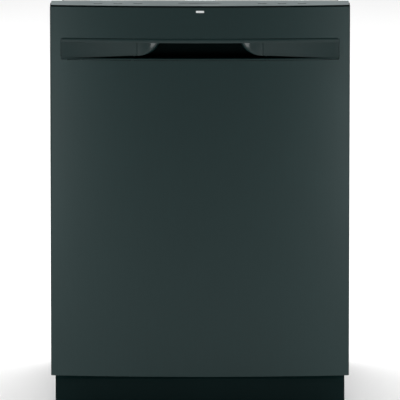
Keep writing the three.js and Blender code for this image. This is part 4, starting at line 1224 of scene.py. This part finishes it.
def make_wheel(name):
    low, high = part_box(name)
    centre = (low + high) / 2
    half = (high.x - low.x) / 2
    r = (high.z - low.z) / 2
    bore = 3.2 * MM
    profile = [(bore, -half), (7 * MM, -half), (7.6 * MM, -half + 0.6 * MM), (7.8 * MM, -2 * MM),
               (r - 5 * MM, -2 * MM),
               (r - 4 * MM, -half + 1 * MM), (r - 0.8 * MM, -half + 1 * MM), (r, -half + 2 * MM),
               (r, -0.8 * MM), (r - 0.9 * MM, 0)]
    whole = profile + [(radius, -height) for radius, height in reversed(profile[:-1])] + [profile[0]]
    wheel = lathe(name + "_disc", whole, (0, 0, 0), "x", 48)
    weld(wheel)
    spokes = [wheel]
    for k in range(6):
        angle = math.pi * k / 3
        spoke = box_piece("spoke", (-3 * MM, -1.3 * MM, 7 * MM), (3 * MM, 1.3 * MM, r - 4 * MM))
        spoke.data.transform(Matrix.Rotation(angle, 4, "X"))
        spokes.append(spoke)
    whole_wheel = join_pieces(name + "_roller", spokes)
    whole_wheel.data.transform(Matrix.Translation(centre))
    finish_piece(whole_wheel, NODE_BODY[name], "grey_plastic", [name])


def weld(piece):
    bm = bmesh.new()
    bm.from_mesh(piece.data)
    bmesh.ops.remove_doubles(bm, verts=bm.verts, dist=1e-6)
    bmesh.ops.recalc_face_normals(bm, faces=bm.faces)
    bm.to_mesh(piece.data)
    bm.free()


def make_upper_rack():
    node_low, node_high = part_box("upper_rack")
    half = node_high.x - 18.5 * MM
    low = Vector((-half, node_low.y, node_low.z))
    high = Vector((half, node_high.y, node_high.z))
    fine = wires("upper_rack_wires", basket_runs(low, high, 2 * MM, 26 * MM), 1.8 * MM, 2)
    finish_piece(fine, "upper_rack_body", "rack_coat", ["upper_rack"])
    rings = [ring(low, high, high.z - 2.6 * MM, 2.7 * MM, 14 * MM),
             ring(low, high, low.z + 60 * MM, 2.2 * MM, 14 * MM)]
    finish_piece(wires("upper_rack_rim", rings, 2.5 * MM, 3), "upper_rack_body", "rack_coat")
    parts = []
    z = (rail_low.z + rail_high.z) / 2
    start, end, r = half + 4 * MM, node_high.x - 0.2 * MM, 4.9 * MM
    for side in (-1, 1):
        x0, x1 = sorted((side * (half - 3 * MM), side * (half + 5 * MM)))
        carrier = box_piece("carrier", (x0, low.y + 12 * MM, z - 4 * MM),
                            (x1, high.y - 22 * MM, z + 4 * MM))
        parts.append(bevel(carrier, 1.5 * MM, 3))
        for i in range(6):
            y = low.y + 32 * MM + (high.y - low.y - 74 * MM) * i / 5
            profile = [(0, start), (r, start), (r, end - 0.8 * MM), (r - 0.9 * MM, end), (0, end)]
            parts.append(lathe("roller", [(a, side * b) for a, b in profile], (0, y, z), "x", 24))
    finish_piece(join_pieces("upper_rack_runners", parts), "upper_rack_body", "grey_plastic")


def make_shelf():
    low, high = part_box("cup_shelf")
    z = (low.z + high.z) / 2
    r = 1.7 * MM
    frame_ring = ([(x, y, z) for x,
                   y in rounded_rect(low.x + r, low.y + r, high.x - r, high.y - r, 9 * MM)], True)
    runs = [frame_ring]
    count = 13
    for i in range(1, count):
        y = low.y + (high.y - low.y) * i / count
        runs.append(([(low.x + r, y, z), (high.x - r, y, z)], False))
    for share in (0.33, 0.66):
        x = low.x + (high.x - low.x) * share
        runs.append(([(x, low.y + r, z), (x, high.y - r, z)], False))
    finish_piece(wires("cup_shelf_wires", runs, r, 3), NODE_BODY["cup_shelf"], "rack_coat", ["cup_shelf"])


def make_tines():
    low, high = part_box("fold_down_tines")
    x = (low.x + high.x) / 2
    z = low.z + 3 * MM
    runs = [([(x, low.y + 0.5 * MM, z), (x, high.y - 0.5 * MM, z)], False)]
    spine = wires("tine_spine", runs, 2.8 * MM, 3)
    finish_piece(spine, NODE_BODY["fold_down_tines"], "rack_coat", ["fold_down_tines"])
    count = 8
    pitch = (high.y - low.y) / count
    top = high.z - 2 * MM
    tines = []
    for i in range(count):
        y = low.y + pitch * (i + 0.5)
        tines.append(([(x, y, z + (top - z) * k / 5) for k in range(6)], False))
    finish_piece(wires("tine_rods", tines, 1.9 * MM, 3), NODE_BODY["fold_down_tines"], "rack_coat")


def make_basket():
    """Four open cells: a slotted floor, rims and slatted walls."""
    low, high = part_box("silverware_basket")
    wall = 2.4 * MM
    cells = 4
    rim = 7 * MM
    pitch = (high.y - low.y - wall) / cells
    lines = [low.y + pitch * i for i in range(cells + 1)]
    parts = []

    def frame_wall(x0, y0, x1, y1):
        for z0, z1 in ((low.z, low.z + rim), (low.z + 62 * MM, low.z + 66 * MM), (high.z - rim, high.z)):
            parts.append(bevel(box_piece("band", (x0, y0, z0), (x1, y1, z1)), 0.5 * MM, 1))
        along_y = y1 - y0 > x1 - x0
        reach = (y1 - y0) if along_y else (x1 - x0)
        slats = max(2, round(reach / (8.5 * MM)))
        for i in range(slats + 1):
            place = (reach - 2.2 * MM) * i / slats
            a = (x0, y0 + place) if along_y else (x0 + place, y0)
            b = (x1, y0 + place + 2.2 * MM) if along_y else (x0 + place + 2.2 * MM, y1)
            parts.append(box_piece("slat", (*a, low.z + 1 * MM), (*b, high.z - 1 * MM)))

    frame_wall(low.x, low.y, low.x + wall, high.y)
    frame_wall(high.x - wall, low.y, high.x, high.y)
    for y in lines:
        frame_wall(low.x, y, high.x, y + wall)
    bars = 13
    for i in range(bars + 1):
        x = low.x + (high.x - low.x - 2.4 * MM) * i / bars
        parts.append(box_piece("floor_bar", (x, low.y, low.z + 0.3 * MM),
                               (x + 2.4 * MM, high.y, low.z + 3 * MM)))
    for i in range(22):
        y = low.y + (high.y - low.y - 2.4 * MM) * i / 21
        parts.append(box_piece("floor_bar", (low.x, y, low.z + 0.3 * MM),
                               (high.x, y + 2.4 * MM, low.z + 2.6 * MM)))
    finish_piece(join_pieces("silverware_cells", parts), "lower_rack_body", "grey_plastic",
                 ["silverware_basket"])


# ---- Wash system ----
def make_sump():
    low, high = sump_low, sump_high
    r = (high.x - low.x) / 2
    top = DECK - 0.1 * MM
    wall = 4.5 * MM
    profile = [(0, low.z), (r - 12 * MM, low.z), (r - 4 * MM, low.z + 5 * MM),
               (r - 3 * MM, low.z + 12 * MM)]
    for i in range(3):
        z = low.z + (18 + 13 * i) * MM
        profile += [(r - 3 * MM, z), (r - 0.4 * MM, z + 1 * MM), (r - 0.4 * MM, z + 4 * MM),
                    (r - 3 * MM, z + 5 * MM)]
    profile += [(r - 2 * MM, top - 4 * MM), (r - 0.3 * MM, top - 3 * MM), (r - 0.3 * MM, top),
                (r - wall, top)]
    profile += [(r - wall - 2 * MM, low.z + 12 * MM), (r - 16 * MM, low.z + 5 * MM),
                (10 * MM, low.z + 5 * MM), (9.8 * MM, high.z - 1 * MM), (9 * MM, high.z), (0, high.z)]
    bowl = lathe("sump_bowl", profile, (0, SUMP_AT.y, 0), "z", 72)
    finish_piece(bowl, "cabinet", "grey_plastic", ["sump"])


def make_filter():
    low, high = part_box("filter_cylinder")
    place = ((low.x + high.x) / 2, (low.y + high.y) / 2, 0)
    tube, rim = 20 * MM, (high.x - low.x) / 2
    profile = [(0, low.z), (tube - 1.5 * MM, low.z), (tube, low.z + 1.5 * MM)]
    bands = 8
    pitch = (DECK - low.z - 6 * MM) / bands
    for i in range(bands):
        z = low.z + 2.5 * MM + pitch * i
        profile += [(tube, z), (tube, z + pitch * 0.35), (tube - 1 * MM, z + pitch * 0.45),
                    (tube - 1 * MM, z + pitch * 0.9)]
    profile += [(tube, DECK - 2 * MM), (rim - 0.5 * MM, DECK - 1.5 * MM), (rim, DECK - 1 * MM),
                (rim, DECK + 3 * MM), (rim - 1 * MM, DECK + 4 * MM),
                (tube - 3 * MM, DECK + 4 * MM), (tube - 5 * MM, DECK + 2.5 * MM), (0, DECK + 2.5 * MM)]
    body = lathe("body", profile, place, "z", 48)
    grip = box_piece("grip", (place[0] - 2.8 * MM, place[1] - rim + 4.5 * MM, DECK + 2 * MM),
                     (place[0] + 2.8 * MM, place[1] + rim - 4.5 * MM, high.z))
    whole = join_pieces("filter_body", [body, bevel(grip, 1.2 * MM, 3)])
    finish_piece(whole, NODE_BODY["filter_cylinder"], "grey_plastic", ["filter_cylinder"])


def make_float():
    low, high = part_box("float")
    r = (high.x - low.x) / 2
    base = DECK + 1 * MM
    tall = high.z - base
    profile = [(0, low.z), (4.2 * MM, low.z), (5 * MM, low.z + 1 * MM), (5 * MM, base), (r - 1 * MM, base),
               (r, base + 1 * MM)]
    profile += [(r, base + tall * 0.55)]
    profile += [(r * math.cos(a), base + tall * (0.55 + 0.45 * math.sin(a)))
                for a in (math.pi / 2 * k / 9 for k in range(1, 9))]
    profile += [(0, high.z)]
    finish_piece(lathe("float_dome", profile, (FLOAT_AT.x, FLOAT_AT.y, 0), "z", 48), NODE_BODY["float"],
                 "grey_plastic", ["float"])


def make_spray_arm(name):
    low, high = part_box(name)
    reach = (high.x - low.x) / 2
    y0 = SUMP_AT.y
    z0, z1 = low.z + 2.2 * MM, high.z - 4.2 * MM
    half = []
    for i in range(25):
        share = i / 24
        width = (25 - 8 * share + 2.5 * math.sin(math.pi * share)) * MM
        half.append((26 * MM + (reach - 42 * MM) * share, width))
    cap = [(reach - 17 * MM + 17 * MM * math.sin(a), 17 * MM * math.cos(a))
           for a in (math.pi / 2 * k / 8 for k in range(1, 9))]
    right = half + cap
    loop = [(x, -y) for x, y in right] + [(x, y) for x, y in reversed(right[:-1])]
    loop += [(-x, -y) for x, y in loop]
    blade = prism("blade", [(x, y + y0) for x, y in loop], z0, z1)
    bevel(blade, 3.2 * MM, 4, 50)
    hub = (high.y - low.y) / 2 - 0.3 * MM
    profile = [(0, low.z), (hub * 0.55, low.z), (hub * 0.6, low.z + 1.5 * MM),
               (hub - 3 * MM, low.z + 2.5 * MM), (hub, low.z + 4 * MM),
               (hub, z1 - 1 * MM), (hub - 3 * MM, z1 + 1.2 * MM), (hub * 0.62, z1 + 1.6 * MM),
               (hub * 0.5, high.z - 0.6 * MM), (hub * 0.44, high.z), (0, high.z)]
    parts = [blade, lathe("hub", profile, (0, y0, 0), "z", 56)]
    for side in (-1, 1):
        x0, x1 = sorted((side * 30 * MM, side * (reach - 22 * MM)))
        ridge = box_piece("ridge", (x0, y0 - 4 * MM, z1 - 1 * MM), (x1, y0 + 4 * MM, z1 + 1.4 * MM))
        parts.append(bevel(ridge, 1.2 * MM, 3))
    body = join_pieces(name + "_blade", parts)
    finish_piece(body, NODE_BODY[name], "grey_plastic", [name])
    jets = []
    for side in (-1, 1):
        for i, share in enumerate((0.3, 0.5, 0.7, 0.88)):
            x = side * reach * share
            y = y0 + (9 if (i + (side > 0)) % 2 else -9) * MM
            profile = [(1.5 * MM, z1 - 0.6 * MM), (4.6 * MM, z1 - 0.6 * MM), (4.2 * MM, z1 + 0.9 * MM),
                       (3.4 * MM, z1 + 1.2 * MM), (1.6 * MM, z1 + 0.2 * MM), (1.5 * MM, z1 - 0.6 * MM)]
            jets.append(lathe("jet", profile, (x, y, 0), "z", 20))
    nozzles = join_pieces(name + "_nozzles", jets)
    weld(nozzles)
    finish_piece(nozzles, NODE_BODY[name], "black_plastic")


def make_feed():
    low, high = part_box("spray_conduit")
    deep = 12 * MM
    bend = deep * 0.9
    start = high.z - deep * 1.4
    y = high.y - deep / 2
    path = [(low.z, y), (start, y)]
    for k in range(1, 9):
        turn = math.pi / 2 * k / 8
        path.append((start + bend * math.sin(turn), y - bend * (1 - math.cos(turn))))
    path += [(high.z - deep / 2, low.y)]
    # The duct's side view: an outline on each side of the path, carried across its width.
    outer, inner = [], []
    for i, (z, y) in enumerate(path):
        a, b = path[max(0, i - 1)], path[min(len(path) - 1, i + 1)]
        step = Vector((b[0] - a[0], b[1] - a[1])).normalized()
        reach = deep / 2 - 0.1 * MM
        outer.append((y + step.x * reach, z - step.y * reach))
        inner.append((y - step.x * reach, z + step.y * reach))
    duct = prism("duct", outer + inner[::-1], low.x + 1 * MM, high.x - 1 * MM, "x")
    weld(duct)
    parts = [bevel(duct, 2.6 * MM, 4, 60)]
    for z in (0.22, 0.42, 0.64, 0.86):
        height = low.z + (high.z - low.z) * z
        clip = box_piece("clip", (low.x, high.y - deep, height), (high.x, high.y, height + 9 * MM))
        parts.append(bevel(clip, 0.8 * MM))
    finish_piece(join_pieces("spray_duct", parts), "cabinet", "grey_plastic", ["spray_conduit"])


def make_sprinkler():
    low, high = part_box("top_sprinkler")
    r = (high.x - low.x) / 2
    profile = [(0, low.z), (8 * MM, low.z), (18 * MM, low.z + 2 * MM), (20 * MM, low.z + 5 * MM),
               (20 * MM, high.z - 7 * MM),
               (r - 2 * MM, high.z - 6 * MM), (r, high.z - 4.5 * MM), (r, high.z - 1 * MM),
               (r - 1 * MM, high.z), (0, high.z)]
    parts = [lathe("cone", profile, (0, SUMP_AT.y, 0), "z", 48)]
    for k in range(12):
        angle = math.pi * k / 6
        fin = box_piece("fin", (19 * MM, -1 * MM, low.z + 5 * MM), (22 * MM, 1 * MM, high.z - 6 * MM))
        fin.data.transform(Matrix.Translation((0, SUMP_AT.y, 0)) @ Matrix.Rotation(angle, 4, "Z"))
        parts.append(fin)
    finish_piece(join_pieces("sprinkler_head", parts), "cabinet", "grey_plastic", ["top_sprinkler"])


# ---- Inside of the door ----
def make_dispenser():
    low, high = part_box("detergent_dispenser")
    lid_low, lid_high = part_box("detergent_lid")
    proud = high.y
    body = prism("case", rounded_rect(low.x, low.z, high.x, high.z, 11 * MM), low.y, proud, "y")
    cup_low = (lid_low.x + 4 * MM, lid_low.z + 4 * MM)
    cup_high = (lid_high.x - 4 * MM, lid_high.z - 4 * MM)
    cup = prism("cup", rounded_rect(*cup_low, *cup_high, 7 * MM), LINER_BACK - 21.5 * MM, proud + 0.01, "y")
    combine(body, cup, "DIFFERENCE")
    opening = rounded_rect(low.x + 125 * MM, low.z + 80 * MM, high.x - 18 * MM, low.z + 110 * MM, 5 * MM)
    slot = prism("slot", opening, proud - 1.6 * MM, proud + 0.01, "y")
    combine(body, slot, "DIFFERENCE")
    bevel(body, 1.3 * MM, 3, 50)
    finish_piece(body, "door", "grey_plastic", ["detergent_dispenser"])


def make_lid():
    low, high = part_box("detergent_lid")
    plate = prism("plate", rounded_rect(low.x, low.z, high.x, high.z, 8 * MM), low.y, low.y + 3 * MM, "y")
    parts = [bevel(plate, 1 * MM, 3)]
    x0, x1 = low.x + 25 * MM, high.x - 25 * MM
    for i in range(3):
        z = high.z - (10 + 4 * i) * MM
        rib = prism("rib", rounded_rect(x0, z - 1 * MM, x1, z + 1 * MM, 0.9 * MM), low.y + 2.5 * MM,
                    high.y - 0.2 * MM, "y")
        parts.append(bevel(rib, 0.4 * MM))
    finish_piece(join_pieces("lid_plate", parts), NODE_BODY["detergent_lid"], "grey_plastic",
                 ["detergent_lid"])


def make_rinse_cap():
    low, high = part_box("rinse_aid_cap")
    place = ((low.x + high.x) / 2, 0, (low.z + high.z) / 2)
    r = (high.x - low.x) / 2
    y0 = low.y
    profile = [(0, y0), (r, y0), (r, y0 + 2.6 * MM), (r - 1 * MM, y0 + 3.5 * MM),
               (r - 4 * MM, y0 + 3.5 * MM), (r - 5 * MM, y0 + 2.4 * MM), (0, y0 + 2.4 * MM)]
    disc = lathe("disc", profile, place, "y", 48)
    x, z = place[0], place[2]
    reach, rise = r - 3.5 * MM, 2.8 * MM
    outline = rounded_rect(x - reach, z - rise, x + reach, z + rise, 2.7 * MM)
    bar = prism("bar", outline, y0 + 1 * MM, high.y, "y")
    finish_piece(join_pieces("rinse_cap_disc", [disc, bevel(bar, 0.8 * MM, 3)]),
                 NODE_BODY["rinse_aid_cap"], "black_plastic", ["rinse_aid_cap"])


def make_liner_relief():
    """Pressed beads on the steel liner, low enough to clear the racks."""
    dispenser_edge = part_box("detergent_dispenser")[1].x + 10 * MM
    half = 232 * MM
    beads = [(-half, half, z) for z in (190, 240, 290, 340, 390, 440, 650, 700, 750)]
    for side in (-1, 1):
        x0, x1 = sorted((side * dispenser_edge, side * half))
        beads += [(x0, x1, z) for z in (500, 545, 590)]
    parts = []
    for x0, x1, z in beads:
        outline = rounded_rect(x0, (z - 6) * MM, x1, (z + 6) * MM, 6 * MM)
        bead = prism("bead", outline, LINER_BACK - 1 * MM, LINER_BACK + 1.6 * MM, "y")
        parts.append(bevel(bead, 1.5 * MM, 3))
    finish_piece(join_pieces("liner_beads", parts), "door", "stainless")


def make_lower_seal():
    low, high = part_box("lower_door_seal")
    section = [(low.y, low.z + 3 * MM), (low.y + 1 * MM, low.z), (high.y - 1.4 * MM, low.z),
               (high.y - 0.4 * MM, low.z + 1.2 * MM),
               (high.y - 1.2 * MM, low.z + 2.8 * MM), (high.y, low.z + 4.6 * MM),
               (high.y - 0.2 * MM, high.z - 1.5 * MM), (high.y - 1.4 * MM, high.z), (low.y, high.z)]
    seal = prism("seal_lip", section, low.x, high.x, "x")
    finish_piece(bevel(seal, 0.3 * MM), "door", "rubber", ["lower_door_seal"])


make_lower_rack()
for rack_wheel in sorted(name for name in frame["nodes"] if name.startswith("rack_wheel")):
    make_wheel(rack_wheel)
make_upper_rack()
make_shelf()
make_tines()
make_basket()
make_sump()
make_filter()
make_float()
make_spray_arm("lower_spray_arm")
make_spray_arm("upper_spray_arm")
make_feed()
make_sprinkler()
make_dispenser()
make_lid()
make_rinse_cap()
make_liner_relief()
make_lower_seal()


# ---- Floor ----
FLOOR_REACH = 40
floor_corners = [(x * FLOOR_REACH, y * FLOOR_REACH, 0) for x, y in ((-1, -1), (1, -1), (1, 1), (-1, 1))]
floor = mesh_piece("floor", floor_corners, [(0, 1, 2, 3)])
floor_surface = Surface("floor_paint", (0.86, 0.86, 0.86), 0.7)
floor_surface.vary_roughness(floor_surface.noise(3.0), 0.05)
floor.data.materials.append(floor_surface.material)
